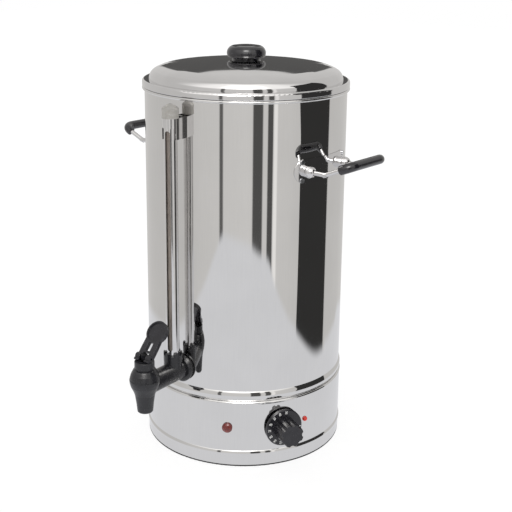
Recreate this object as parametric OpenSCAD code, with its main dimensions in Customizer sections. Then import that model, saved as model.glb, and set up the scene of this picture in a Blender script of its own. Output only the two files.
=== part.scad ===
// Hot water urn: a single-wall steel tank on a base that holds the heater controls,
// with a gravity tap, a sight gauge, a lift-off lid and two folding handles.
// The origin is on the tank's axis at table height. +Z is up, and the tap faces -Y.
// An azimuth is measured from the tap, and grows towards +X.

/* [Tank] */
// Outside diameter of the tank wall
tank_d = 275; // [262:1:288]
// Thickness of the tank, base and lid sheet
sheet = 1; // [0.8:0.1:1.3]
// Height of the tank's rim above the table
rim_z = 500.5; // [490:0.5:530]
// Diameter of the roll around the rim
rim_roll_d = 4.4; // [3.8:0.1:5.2]
// Height of the seam between the tank and the base
seam_z = 96; // [92:1:101]
// Height of the rolled bead over the seam
hem_h = 14.5; // [12:0.5:17]
// How far the rolled bead over the seam stands out
hem_out = 2; // [1.5:0.1:2.6]
// Thickness of the tank floor
floor_t = 1.2; // [1:0.1:1.6]

/* [Base] */
// How far the base stands out from the tank wall
skirt_step = 1.5; // [1:0.1:2.2]
// Height of the rubber ring that the urn stands on
foot_h = 2.6; // [2.2:0.1:3.4]
// Radius of the rolled top edge of the base
skirt_roll_r = 2.2; // [2:0.1:2.6]
// How far the rolled top edge stands out
skirt_roll_out = 0.8; // [0.6:0.1:1.1]
// Height of the bead near the foot of the base
bead_z = 19.5; // [16:0.5:24]
// Height of the base plate
plate_z = 7; // [6:0.5:10]
// Distance of the three posts from the axis
post_r = 100; // [90:1:106]
// Width across flats of the posts
post_af = 10; // [9:0.5:12]

/* [Lid] */
// Height of the lid's lip
lip_h = 9; // [7:0.5:11]
// How far the lip stands out from the tank wall
lip_out = 3.2; // [2.6:0.1:4]
// Width of the ledge between the lip's edge and the dome
dome_in = 9.2; // [8.2:0.1:13]
// Height of the dome above the lip
dome_h = 25; // [24:0.5:28]
// Radius of the tight curve at the dome's side
dome_side_r = 13.5; // [11:0.5:15]
// Radius of the curve between the dome's side and its top
dome_wide_r = 55; // [49:1:61]
// How far the dome's shallow top rises above its edge
dome_rise = 7.4; // [6.6:0.1:8.2]
// Distance of the shallow top's edge inside the lip's edge
dome_edge_in = 34.9; // [31.9:0.5:37.9]
// Depth of the ring that centres the lid in the tank
centring_depth = 12; // [9:0.5:16]
// Greatest diameter of the lid knob
knob_d = 53; // [46:1:60]
// Height of the lid knob
knob_h = 19.5; // [18:0.5:23]

/* [Handles] */
// Azimuth of the right handle, the left one being opposite
handle_az = 86.4; // [80:0.2:100]
// Height of the handle pivots
handle_z = 407; // [390:1:430]
// Distance between the two legs of a handle
leg_spacing = 76; // [70:1:84]
// Distance from the pivots to the grip
handle_reach = 60; // [54:0.2:68]
// How far the grip lies above the pivots
handle_rise = 15; // [10:0.5:18]
// Length of the level stretch of a leg
leg_flat = 24; // [18:1:28]
// Diameter of the handle rod
rod_d = 6; // [5:0.2:7]
// Diameter of the grip sleeve
grip_d = 12.4; // [11:0.2:15]
// Radius of the corners of the handle rod
corner_r = 12; // [10:0.5:14]
// Diameter of the round knuckles on the bracket
knuckle_d = 16; // [15:0.5:18]
// Height of the bracket plate
bracket_h = 32; // [30:1:38]
// Thickness of the bracket plate
bracket_t = 1.2; // [1:0.1:1.6]

/* [Tap] */
// Height of the tap's barrel above the tank floor
tap_rise = 21.5; // [18:0.5:25]
// Distance from the tank wall to the spout's axis
tap_reach = 76; // [70:1:88]
// Diameter of the threaded shank through the wall
shank_d = 16; // [15:0.5:18]
// Diameter of the barrel
barrel_d = 27; // [25:0.5:28]
// Diameter of the water way
way_d = 11; // [9:0.5:11.5]
// Greatest diameter of the valve bowl
bowl_d = 39.6; // [38.5:0.2:44]
// Diameter of the spout's mouth
spout_d = 20.6; // [19.6:0.2:23]
// Diameter of the hole through the spout
spout_hole_d = 15.6; // [14:0.2:16]
// Distance from the barrel's axis down to the spout's mouth
spout_drop = 35.5; // [32:0.5:42]
// Angle of the closed lever from upright, towards the tank
lever_lean = 42; // [34:1:45]
// Distance from the lever's pin to the centre of its disc
lever_l = 36.5; // [33:0.5:40]
// Diameter of the lever's disc
disc_d = 30.5; // [27:0.5:32]
// Width of the lever
lever_w = 23.6; // [22:0.2:26]
// Thickness of the lever
lever_t = 6; // [5:0.2:7]
// Diameter of the ring flange and wall seal of the tap
collar_d = 37; // [34:0.5:40]

/* [Gauge] */
// Distance from the tank wall to the gauge tube's axis
gauge_out = 20; // [19:0.5:23]
// Distance from the tank's rim down to the top of the gauge tube
gauge_below_rim = 24; // [20:1:40]
// Outside diameter of the glass tube
glass_d = 12; // [10:0.5:12]
// Wall thickness of the glass tube
glass_t = 1.5; // [1:0.1:2]
// Outside diameter of the guard tube
guard_d = 17.5; // [17:0.1:18.5]
// Wall thickness of the guard tube
guard_t = 1; // [0.8:0.1:1.2]
// Width of the slot in the guard tube
slot_w = 7; // [5:0.5:8]
// Azimuth that the slot faces
slot_az = 14; // [0:1:30]
// Diameter of the clear cap
cap_d = 21.5; // [20:0.5:24]
// Height of the clear cap
cap_h = 18; // [15:0.5:22]
// Height of the clip that holds the tube to the wall
clip_h = 27; // [22:1:30]

/* [Controls] */
// Height of the dial's centre
dial_z = 56.2; // [50:0.2:62]
// Azimuth of the dial
dial_az = 59.2; // [54:0.2:62]
// Diameter of the dial's skirt
dial_d = 52; // [48:1:56]
// Diameter of the dial's grip
dial_grip_d = 32; // [28:1:36]
// Distance that the grip stands out from the dial's skirt
dial_grip_h = 26.5; // [22:0.5:30]
// Distance from the base to the back of the dial
dial_gap = 2.5; // [2.4:0.1:4]
// Azimuth of the red index mark
index_az = 73.9; // [72:0.2:80]
// Diameter of the red index mark
index_d = 7; // [5:0.5:8]
// Azimuth of the indicator lamp
lamp_az = 27.8; // [20:0.2:34]
// Height of the indicator lamp
lamp_z = 57.8; // [50:0.5:70]
// Diameter of the lamp's lens
lens_d = 14; // [13:0.5:16]

/* [Heater and wiring] */
// Diameter of the ring of the heating element
element_ring_d = 160; // [140:2:180]
// Diameter of the heating element's tube
element_d = 8; // [7:0.5:9]
// Height of the element's ring above the tank floor
element_rise = 14; // [13.5:0.5:20]
// Height of the cable gland above the table
gland_z = 42; // [36:1:50]
// Diameter of the supply cable that the gland takes
cable_d = 8; // [7:0.2:9]
// Diameter of the inner wires
wire_d = 2.4; // [2:0.1:3]

/* [Hidden] */
$fn = 96;

// Clearances
fit = 0.1;          // between parts that are put together and stay
running = 0.06;     // between a shaft and its bearing
apart = 0.3;        // between parts that move past each other
seat = 0.15;        // between a curved wall and what lies against it
over = 1;           // how far a cut runs past a face

// Tank
tank_r = tank_d / 2;
tank_in_r = tank_r - sheet;
hem_top = seam_z + hem_h;
hem_half = hem_h / 2 - 0.5;
hem_r = (hem_half * hem_half + hem_out * hem_out) / (2 * hem_out);
hem_axis = [tank_r + hem_out - hem_r, seam_z + hem_h / 2];
floor_under = hem_top + apart;
floor_z = floor_under + floor_t;
floor_flange_z = seam_z + 2;
rim_roll_r = rim_roll_d / 2;
rim_axis = [tank_in_r + rim_roll_r, rim_z - rim_roll_r];

// Base
skirt_r = tank_r + skirt_step;
skirt_in_r = skirt_r - sheet;
skirt_top = seam_z - apart;
skirt_roll_axis = [skirt_r + skirt_roll_out - skirt_roll_r, skirt_top - skirt_roll_r];
bead_r = 7;
bead_out = 1.3;
bead_axis = [skirt_r + bead_out - bead_r, bead_z];
neck_h = 8.5;
neck_r = tank_in_r - floor_t - 0.7;
hem_w = 12;
foot_w = 6.5;
plate_r = skirt_in_r - foot_w - fit;
plate_rise_r = plate_r - 12;
plate_top = plate_z + sheet;
post_azs = [0, 120, 240];
post_top = floor_under;
screw_r = 2.5;
screw_head_r = 4.5;
screw_head_h = 2.6;
screw_depth = 13;
vent_count = 12;
vent_r = 62;

// Lid
lid_z = rim_z + apart;
lip_r = tank_r + lip_out;
lip_top = lid_z + lip_h;
dome_r = lip_r - dome_in;
lid_top = lip_top + dome_h;
dome_edge_r = lip_r - dome_edge_in;
dome_crown_r = (dome_edge_r * dome_edge_r + dome_rise * dome_rise) / (2 * dome_rise);
// the knob sits on a small flat at the crown
knob_seat_r = 20;
dome_crown_z = lid_top - sqrt(dome_crown_r * dome_crown_r - knob_seat_r * knob_seat_r);
dome_side_axis = [dome_r - dome_side_r, lip_top];
// the wide curve is tangent to the side curve and to the crown
dome_to_side = norm([dome_side_axis[0], lip_top - dome_crown_z]);
dome_to_wide = dome_crown_r - dome_wide_r;
dome_between = dome_wide_r - dome_side_r;
dome_turn = acos((dome_to_side * dome_to_side + dome_to_wide * dome_to_wide - dome_between * dome_between)
    / (2 * dome_to_side * dome_to_wide));
dome_lean = atan2(dome_side_axis[0], lip_top - dome_crown_z) - dome_turn;
dome_wide_axis = [dome_to_wide * sin(dome_lean), dome_crown_z + dome_to_wide * cos(dome_lean)];
dome_meet = atan2(lip_top - dome_wide_axis[1], dome_side_axis[0] - dome_wide_axis[0]);
centring_r = tank_in_r - 3;
knob_screw_r = 2.5;
knob_screw_depth = 13;

// Handles
leg_y = leg_spacing / 2;
knuckle_r = knuckle_d / 2;
knuckle_line = tank_r + knuckle_r;
knuckle_angle = asin(leg_y / knuckle_line);
pivot_x = knuckle_line * cos(knuckle_angle);
rod_r = rod_d / 2;
journal_l = 11;
leg_slope = atan2(handle_rise, handle_reach - leg_flat);
leg_sloped = (handle_reach - leg_flat) / cos(leg_slope);
grip_tail = 1.5;
rivet_r = 2;
rivet_head_r = 3.2;
rivet_head_h = 1.1;
rivet_y = leg_y + 5;
rivet_dz = bracket_h / 2 - rivet_head_r - 1;
handle_azs = [handle_az, handle_az + 180];

// Tap, with heights measured from the barrel's axis
tap_z = floor_z + tap_rise;
tap_r = tank_r + tap_reach;
shank_r = shank_d / 2;
seal_t = 2;
boss_r = 12.3;
collar_t = gauge_out - boss_r - seal_t - apart;
barrel_start = tank_r + seal_t + collar_t;
shank_inside = 14;
locknut_t = 7;
locknut_af = 26;
bowl_r = bowl_d / 2;
spout_r = spout_d / 2;
bowl_top = 10;
bowl_floor = -6;
bowl_in_r = 12;
seat_lip = 1.4;
seat_gap = 0.3;
bonnet_r = 16;
bonnet_start = 3.6;
bonnet_roof = 19;
bonnet_top = 35.3;
bonnet_ring_r = 13;
stem_r = 3;
cup_r = 11.2;
cup_top = 3;
stem_head_r = 4.4;
pin_h = 40;
pin_r = 1.5;
ear_in = 5;
ear_w = lever_w / 2 - ear_in + 0.5;
ear_r = pin_h - bonnet_top - apart;
heel_r = 1.8;
heel_reach = 5.4;
heel_angle = 65;
lever_back = 2.5;
lever_slot_w = 8;
lever_slot_low = 9.5;
spring_r = 8.4;
spring_wire_d = 1.2;
spring_turns = 5;

// Gauge
gauge_r = tank_r + gauge_out;
glass_r = glass_d / 2;
guard_r = guard_d / 2;
boss_top = 17.5;
glass_seat = 8.5;
seal_floor = 12;
nut_spigot_r = 10;
nut_ledge = 22;
nut_top = 29.5;
nut_r = 12.5;
nut_teeth = 6;
guard_top = rim_z - gauge_below_rim;
slot_low = tap_z + nut_top + 3;
slot_high = guard_top - 15.5;
glass_in_cap = 9;
cap_plug = 8;
clip_top = guard_top;
clip_front_h = 12;
clip_t = 1.2;
clip_screw_r = 2;

// Controls
thermostat_w = 40;
thermostat_h = 34;
thermostat_deep = 22;
plate_w = 50;
plate_h = 38;
bracket_front = sqrt(pow(skirt_in_r, 2) - pow(plate_w / 2, 2)) - fit;
thermostat_front = bracket_front - bracket_t;
thermostat_back = thermostat_front - thermostat_deep;
shaft_r = 3;
shaft_in = 14;
dial_back = skirt_r + dial_gap;
dial_skirt_h = 4;
dial_hub_r = 7;
dial_screw_x = 14;
dial_screw_r = 2;
dial_lobes = 8;
index_rise = 2.3;
lamp_r = 5.3;
lamp_deep = 30;
lamp_nut_t = 3;
tab = [3, 0.8, 8];
tab_x = 3.2;

// Heater and wiring
element_r = element_ring_d / 2;
element_z = floor_z + element_rise;
bend_r = 9;
leg_turn = 23.6;
bush_r = 6;
bush_flange_r = 9;
bush_flange_t = 2.6;
bush_low = 13;
element_nut_t = 5;
element_nut_af = 19;
element_seal_t = 1.8;
leg_low = floor_z - 20;
pin_low = leg_low - 10;
terminal_pin_r = 2;
gland_r = 8;
gland_hex = 22;
gland_hex_t = 4;
gland_out = 14;
gland_in = 9;
gland_cap_out = 17;
gland_cap_r = 12;
gland_wall = 1.6;
gland_locknut_t = 5;
gland_seat = sqrt(pow(skirt_in_r, 2) - pow(gland_hex / 2 / cos(30), 2)) - fit;
block_size = [42, 20, 18];
block_at = azimuth_point(-164.1, plate_rise_r - 27.9, 0);
block_pitch = 13;
earth_at = azimuth_point(159.2, plate_rise_r - 21, 0);
bulb_r = 3;
bulb_l = 70;
bulb_at = [10, -42];
cutout_at = [-35, -18];
cutout_r = 10;
cutout_h = 9;

// ---------- helpers ----------

// Children's +Z points away from the axis, and their +Y points up
module outward(azimuth, z, r) {
    rotate([0, 0, azimuth]) translate([0, -r, z]) rotate([90, 0, 0]) children();
}

// Children's +X points away from the axis, and their +Z points up
module towards(azimuth) {
    rotate([0, 0, azimuth - 90]) children();
}

module at_post(azimuth) {
    rotate([0, 0, azimuth]) translate([0, -post_r, 0]) children();
}

// Both ends of the element turn down beside the back of the tank
module at_element_leg(side) {
    rotate([0, 0, 180 + side * leg_turn]) translate([-side * bend_r, -element_r, 0]) children();
}

module ring(outer_r, inner_r, h) {
    difference() {
        cylinder(r = outer_r, h = h);
        translate([0, 0, -over]) cylinder(r = inner_r, h = h + 2 * over);
    }
}

module hex_nut(across, hole_r, h) {
    difference() {
        cylinder(d = across / cos(30), h = h, $fn = 6);
        translate([0, 0, -over]) cylinder(r = hole_r, h = h + 2 * over);
    }
}

// A band that lies on the outside of a drum, as wide and high as the children's outline in Y and Z
module wrapped(drum_r, t) {
    intersection() {
        translate([0, 0, handle_z - bracket_h]) ring(drum_r + t, drum_r, 2 * bracket_h);
        rotate([90, 0, 90]) linear_extrude(drum_r + 2 * t) children();
    }
}

function azimuth_point(azimuth, r, z) = [r * sin(azimuth), -r * cos(azimuth), z];
function unit(v) = v / norm(v);
function bezier(a, b, c, d, t) =
    pow(1 - t, 3) * a + 3 * pow(1 - t, 2) * t * b + 3 * (1 - t) * t * t * c + pow(t, 3) * d;

// Points of a wire that leaves one end along its direction and arrives along the other's
function wire_path(start, leave, finish, arrive, steps = 12) =
    [for (i = [0 : steps]) bezier(start, start + leave, finish + arrive, finish, i / steps)];

// A round tube along a path, as one closed polyhedron
module tube_along(path, d, sides = 8, guide = [0.2, 0.3, 0.93]) {
    last = len(path) - 1;
    rings = [
        for (i = [0 : last])
            let (
                ahead = unit(path[min(i + 1, last)] - path[max(i - 1, 0)]),
                across = unit(cross(ahead, guide)),
                up = cross(across, ahead)
            )
            for (k = [0 : sides - 1])
                path[i] + d / 2 * (cos(360 * k / sides) * across + sin(360 * k / sides) * up)
    ];
    walls = [
        for (i = [0 : last - 1])
            for (k = [0 : sides - 1])
                let (n = (k + 1) % sides)
                [i * sides + k, i * sides + n, (i + 1) * sides + n, (i + 1) * sides + k]
    ];
    first_cap = [for (k = [sides - 1 : -1 : 0]) k];
    last_cap = [for (k = [0 : sides - 1]) last * sides + k];
    polyhedron(concat(rings), concat(walls, [first_cap, last_cap]));
}

// ---------- tank ----------

module tank_shell() {
    color("silver")
    difference() {
        rotate_extrude() {
            translate(rim_axis) circle(r = rim_roll_r, $fn = 32);
            difference() {
                union() {
                    translate([tank_in_r, seam_z]) square([sheet, rim_axis[1] - seam_z]);
                    intersection() {
                        translate(hem_axis) circle(r = hem_r, $fn = 180);
                        translate([tank_in_r + sheet / 3, seam_z + 0.25])
                            square([sheet + 2 * hem_out, hem_h - 0.5]);
                    }
                }
                translate(hem_axis) circle(r = hem_r - sheet, $fn = 180);
            }
        }
        outward(0, tap_z, tank_in_r - over) cylinder(r = shank_r + fit, h = sheet + 2 * over);
        outward(0, clip_top - clip_h / 2, tank_in_r - over)
            cylinder(r = clip_screw_r + fit, h = sheet + 2 * over);
        for (azimuth = handle_azs) rivet_places(azimuth)
            translate([0, 0, -sheet - over]) cylinder(r = rivet_r + fit, h = sheet + 2 * over);
    }
}

module tank_floor() {
    color("silver")
    difference() {
        rotate_extrude() {
            translate([0, floor_under]) square([tank_in_r, floor_t]);
            translate([tank_in_r - floor_t, floor_flange_z]) square([floor_t, floor_z - floor_flange_z]);
        }
        for (side = [-1, 1]) at_element_leg(side)
            translate([0, 0, floor_under - over]) cylinder(r = bush_r + fit, h = floor_t + 2 * over);
    }
}

// ---------- base ----------

// The skirt's outline with its walls moved in by the given distance
module skirt_outline(inset) {
    translate([0, foot_h]) square([skirt_r - inset, skirt_roll_axis[1] - foot_h]);
    translate([0, foot_h]) square([skirt_roll_axis[0], skirt_top - inset - foot_h]);
    translate(skirt_roll_axis) circle(r = skirt_roll_r - inset, $fn = 48);
    translate(bead_axis) circle(r = bead_r - inset, $fn = 64);
}

module base_skirt() {
    color("silver")
    difference() {
        rotate_extrude() {
            difference() {
                skirt_outline(0);
                difference() {
                    skirt_outline(sheet);
                    translate([skirt_in_r - hem_w, foot_h]) square([hem_w, sheet]);
                }
                translate([0, skirt_top - sheet - over]) square([neck_r - sheet, sheet + 2 * over]);
            }
            translate([neck_r - sheet, skirt_top - sheet]) square([sheet, neck_h]);
        }
        outward(lamp_az, lamp_z, skirt_in_r - over) cylinder(r = lamp_r + fit, h = sheet + 3 * over);
        outward(dial_az, dial_z, skirt_in_r - over) cylinder(r = shaft_r + 1.5, h = sheet + 3 * over);
        for (side = [-1, 1]) outward(dial_az, dial_z, skirt_in_r - 2 * over)
            translate([side * dial_screw_x, 0, 0]) cylinder(r = dial_screw_r + fit, h = sheet + 4 * over);
        outward(index_az, dial_z + index_rise, skirt_in_r - over)
            cylinder(r = index_d / 4 + fit, h = sheet + 3 * over);
        outward(180, gland_z, skirt_in_r - over) cylinder(r = gland_r + fit, h = sheet + 3 * over);
    }
}

module base_plate() {
    color("gray")
    difference() {
        rotate_extrude() {
            translate([plate_rise_r, foot_h - sheet]) square([plate_r - plate_rise_r, sheet]);
            translate([plate_rise_r, foot_h - sheet]) square([sheet, plate_top - foot_h + sheet]);
            translate([0, plate_z]) square([plate_rise_r + sheet, sheet]);
        }
        for (azimuth = post_azs) at_post(azimuth)
            translate([0, 0, plate_z - over]) cylinder(r = screw_r + fit, h = sheet + 2 * over);
        for (i = [0 : vent_count - 1]) rotate([0, 0, 360 * i / vent_count + 15])
            translate([vent_r - 14, -2, plate_z - over]) cube([28, 4, sheet + 2 * over]);
        translate([earth_at[0], earth_at[1], plate_z - over])
            cylinder(r = screw_r + fit, h = sheet + 2 * over);
    }
}

module foot_ring() {
    color("#1a1a1a")
    rotate_extrude() {
        translate([skirt_in_r - foot_w, 0]) square([foot_w + sheet - 1.2, foot_h]);
        translate([skirt_r - 1.2, 1.2]) circle(r = 1.2, $fn = 32);
        translate([skirt_r - 1.3, 1.2]) square([1.3, foot_h - 1.2]);
    }
}

module base_posts() {
    color("silver")
    for (azimuth = post_azs) at_post(azimuth)
        difference() {
            translate([0, 0, plate_top]) cylinder(d = post_af / cos(30), h = post_top - plate_top, $fn = 6);
            translate([0, 0, plate_top - over]) cylinder(r = screw_r + fit, h = screw_depth + 1 + over);
        }
}

module base_screws() {
    color("silver")
    for (azimuth = post_azs) at_post(azimuth) {
        translate([0, 0, plate_z - screw_head_h]) cylinder(r = screw_head_r, h = screw_head_h);
        translate([0, 0, plate_z - over]) cylinder(r = screw_r, h = screw_depth + over);
    }
}

// ---------- heater ----------

module heating_element() {
    color("#8c8880") {
        translate([0, 0, element_z]) rotate([0, 0, 90 + leg_turn])
            rotate_extrude(angle = 360 - 2 * leg_turn) translate([element_r, 0]) circle(d = element_d, $fn = 32);
        for (side = [-1, 1]) at_element_leg(side) {
            translate([side * bend_r, 0, element_z - bend_r]) rotate([90, 0, 0])
                rotate([0, 0, side > 0 ? 90 : 0])
                    rotate_extrude(angle = 90) translate([bend_r, 0]) circle(d = element_d, $fn = 32);
            translate([side * bend_r, 0, element_z]) rotate([0, 90, 0])
                cylinder(d = element_d + 0.8, h = 6, center = true);
            translate([0, 0, leg_low]) cylinder(d = element_d, h = element_z - bend_r - leg_low);
            translate([0, 0, pin_low]) cylinder(r = terminal_pin_r, h = leg_low - pin_low);
        }
    }
}

module element_bushes() {
    color("goldenrod")
    for (side = [-1, 1]) at_element_leg(side)
        difference() {
            union() {
                translate([0, 0, floor_z - bush_low]) cylinder(r = bush_r, h = bush_low + element_seal_t);
                translate([0, 0, floor_z + element_seal_t]) cylinder(r = bush_flange_r, h = bush_flange_t);
            }
            translate([0, 0, floor_z - bush_low - over])
                cylinder(r = element_d / 2 + fit / 2, h = bush_low + element_seal_t + bush_flange_t + 2 * over);
        }
}

module element_seals() {
    color("#b5442e")
    for (side = [-1, 1]) at_element_leg(side)
        translate([0, 0, floor_z]) ring(bush_flange_r, bush_r + fit, element_seal_t);
}

module element_nuts() {
    color("goldenrod")
    for (side = [-1, 1]) at_element_leg(side)
        translate([0, 0, floor_under - element_nut_t]) hex_nut(element_nut_af, bush_r + fit, element_nut_t);
}

// ---------- thermostat, lamp and dial ----------

module thermostat_body() {
    color("#d8d2c0")
    outward(dial_az, dial_z, thermostat_back)
    difference() {
        union() {
            translate([-thermostat_w / 2, -thermostat_h / 2, 0])
                cube([thermostat_w, thermostat_h, thermostat_deep]);
            for (side = [-1 : 1]) translate([side * 12 - tab[0] / 2, 4, -tab[2]]) cube(tab_block());
        }
        translate([0, 0, thermostat_deep - shaft_in - over])
            cylinder(r = shaft_r + running, h = shaft_in + 2 * over);
        for (side = [-1, 1]) translate([side * dial_screw_x, 0, thermostat_deep - 9])
            cylinder(r = dial_screw_r + fit, h = 9 + over);
    }
}

// Size of a blade terminal that points inwards
function tab_block() = [tab[0], tab[1], tab[2] + 0.5];

module thermostat_bracket() {
    color("silver")
    outward(dial_az, dial_z, thermostat_front)
    difference() {
        translate([-plate_w / 2, -plate_h / 2, 0]) cube([plate_w, plate_h, bracket_t]);
        translate([0, 0, -over]) cylinder(r = shaft_r + 1.5, h = bracket_t + 2 * over);
        for (side = [-1, 1]) translate([side * dial_screw_x, 0, -over])
            cylinder(r = dial_screw_r + fit, h = bracket_t + 2 * over);
    }
}

module thermostat_screws() {
    color("silver")
    for (side = [-1, 1]) outward(dial_az, dial_z, 0) translate([side * dial_screw_x, 0, 0]) {
        translate([0, 0, skirt_r - 0.2]) cylinder(r = 3.4, h = 1.6);
        translate([0, 0, thermostat_front - 8]) cylinder(r = dial_screw_r, h = skirt_r - thermostat_front + 8.5);
    }
}

module thermostat_shaft() {
    color("silver")
    outward(dial_az, dial_z, thermostat_front - shaft_in + apart)
        cylinder(r = shaft_r, h = dial_back + 15 - thermostat_front + shaft_in - apart);
}

// Outline of the grip: a disc with scallops around it
module grip_outline() {
    difference() {
        circle(d = dial_grip_d);
        for (i = [0 : dial_lobes - 1]) rotate([0, 0, 360 * i / dial_lobes])
            translate([dial_grip_d / 2 + 2.4, 0]) circle(r = 4.6, $fn = 48);
    }
}

module dial_knob() {
    color("#202022")
    outward(dial_az, dial_z, dial_back)
    difference() {
        union() {
            cylinder(d = dial_d, h = dial_skirt_h - 1);
            translate([0, 0, dial_skirt_h - 1]) cylinder(d1 = dial_d, d2 = dial_d - 2.4, h = 1);
            linear_extrude(dial_skirt_h + dial_grip_h) grip_outline();
        }
        difference() {
            translate([0, 0, -over]) cylinder(d = dial_d - 5, h = over + 1.6);
            translate([0, 0, -2 * over]) cylinder(r = dial_hub_r, h = 4 * over);
        }
        translate([0, 0, -over]) cylinder(r = shaft_r + fit / 2, h = 16 + over);
    }
}

module dial_index() {
    color("#e0281a")
    outward(index_az, dial_z + index_rise, skirt_r + fit) {
        intersection() {
            sphere(d = index_d, $fn = 64);
            cylinder(d = index_d + over, h = index_d);
        }
        translate([0, 0, -5]) cylinder(r = index_d / 4, h = 5.5);
    }
}

module lamp_lens() {
    dome_r = lens_d * 0.62;
    color("#7c1f1c")
    outward(lamp_az, lamp_z, skirt_r + apart) {
        cylinder(d = lens_d, h = 1.4);
        intersection() {
            translate([0, 0, 4.2 - dome_r]) sphere(r = dome_r);
            translate([0, 0, 1]) cylinder(d = lens_d - 1, h = 4);
        }
        translate([0, 0, -6]) cylinder(r = lamp_r - 1, h = 6.5);
    }
}

module lamp_body() {
    color("#2a2a2a")
    outward(lamp_az, lamp_z, skirt_r)
    union() {
        difference() {
            translate([0, 0, -lamp_deep]) cylinder(r = lamp_r, h = lamp_deep + 0.2);
            translate([0, 0, -7]) cylinder(r = lamp_r - 1 + fit, h = 7 + over);
        }
        for (side = [-1, 1]) translate([side * tab_x - tab[0] / 2, -tab[1] / 2, -lamp_deep - tab[2]])
            cube(tab_block());
    }
}

module lamp_nut() {
    color("silver")
    outward(lamp_az, lamp_z, skirt_in_r - lamp_nut_t - fit - 0.3) ring(9, lamp_r + fit, lamp_nut_t);
}

// ---------- capillary, cut-out and wiring ----------

module capillary_tube() {
    start = azimuth_point(dial_az, thermostat_back - fit, dial_z - 8);
    finish = [bulb_at[0] + bulb_l + fit, bulb_at[1], floor_under - bulb_r - apart];
    color("#b87333")
    tube_along(wire_path(start, azimuth_point(dial_az, -40, 0), finish, [30, 0, 0], 20), 1.8);
}

module sensor_bulb() {
    color("#b87333")
    translate([bulb_at[0], bulb_at[1], floor_under - bulb_r - apart]) rotate([0, 90, 0])
        cylinder(r = bulb_r, h = bulb_l);
}

module bulb_clip() {
    color("silver")
    translate([bulb_at[0] + bulb_l / 2 - 5, bulb_at[1], floor_under]) {
        for (side = [-1, 1]) translate([0, side * 8 - 4, -1]) cube([10, 8, 1]);
        difference() {
            translate([0, -4.6, -8.2]) cube([10, 9.2, 8.2]);
            translate([-over, 0, -bulb_r - apart]) rotate([0, 90, 0])
                cylinder(r = bulb_r + fit, h = 10 + 2 * over);
            translate([-over, -bulb_r - fit, -bulb_r - apart]) cube([10 + 2 * over, 2 * (bulb_r + fit), 10]);
        }
    }
}

module thermal_cutout() {
    color("#3a3330")
    translate([cutout_at[0], cutout_at[1], floor_under - cutout_h]) {
        cylinder(r = cutout_r, h = cutout_h);
        for (side = [-1, 1]) translate([side * tab_x * 1.6 - tab[0] / 2, -tab[1] / 2, -tab[2]]) cube(tab_block());
    }
}

module cutout_bracket() {
    strap_z = floor_under - cutout_h - 1;
    color("silver")
    translate([cutout_at[0], cutout_at[1], 0])
    difference() {
        union() {
            for (side = [-1, 1]) {
                translate([-5, side * 12 - 0.5, strap_z]) cube([10, 1, cutout_h + 1]);
                translate([-5, side * 16 - 4, floor_under - 1]) cube([10, 8, 1]);
            }
            translate([-5, -12.5, strap_z]) cube([10, 25, 1]);
        }
        translate([-5 - over, -2, strap_z - over]) cube([10 + 2 * over, 4, 1 + 2 * over]);
    }
}

module terminal_block() {
    color("#e6e0d0")
    translate([block_at[0] - block_size[0] / 2, block_at[1] - block_size[1] / 2, plate_top])
    difference() {
        cube(block_size);
        for (i = [-1 : 1]) translate([block_size[0] / 2 + i * block_pitch, 0, 0]) {
            translate([0, block_size[1] / 2, 8]) cylinder(r = 2.2, h = block_size[2]);
            translate([0, -over, 6]) rotate([-90, 0, 0]) cylinder(r = 2.2, h = block_size[1] + 2 * over);
        }
    }
}

// Mouth of one of the three terminals on the block's inner side
function terminal(i) = [
    block_at[0] + i * block_pitch,
    block_at[1] - block_size[1] / 2 - apart,
    plate_top + 6,
];
function element_pin(side) =
    let (turn = 180 + side * leg_turn, x = -side * bend_r, y = -element_r)
    [x * cos(turn) - y * sin(turn), x * sin(turn) + y * cos(turn), pin_low - apart];
function cutout_tab(side) =
    [cutout_at[0] + side * tab_x * 1.6, cutout_at[1], floor_under - cutout_h - tab[2] - apart];
function lamp_tab(side) =
    azimuth_point(lamp_az, skirt_r - lamp_deep - tab[2] - apart, lamp_z)
    + side * tab_x * [cos(lamp_az), sin(lamp_az), 0];
function thermostat_tab(side) =
    azimuth_point(dial_az, thermostat_back - tab[2] - apart, dial_z + 4.4)
    + side * 12 * [cos(dial_az), sin(dial_az), 0];

module wiring() {
    color("#7a2a24") {
        tube_along(wire_path(terminal(1), [0, -40, 10], thermostat_tab(1), [-40, 26, 0]), wire_d);
        tube_along(wire_path(thermostat_tab(-1), [-50, 30, 10], cutout_tab(1), [0, 0, -40]), wire_d);
        tube_along(wire_path(cutout_tab(-1), [0, 0, -30], element_pin(-1), [0, 0, -40]), wire_d);
        tube_along(wire_path(terminal(0), [0, -30, 0], element_pin(1), [0, 0, -40]), wire_d);
        tube_along(wire_path(terminal(-1), [0, -40, 0], lamp_tab(-1), [-14, 26, -3]), wire_d);
        tube_along(wire_path(lamp_tab(1), [-14, 26, 3], thermostat_tab(0), [-30, 18, 0]), wire_d);
    }
}

module earth_terminal() {
    color("goldenrod")
    translate([earth_at[0], earth_at[1], 0]) {
        translate([0, 0, plate_z - 3]) cylinder(r = 4, h = 3);
        translate([0, 0, plate_z - over]) cylinder(r = screw_r, h = 18);
        translate([0, 0, plate_top]) hex_nut(8, screw_r + fit, 4);
        translate([0, 0, plate_top + 5]) hex_nut(8, screw_r + fit, 4);
    }
}

// ---------- cable gland ----------

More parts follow.
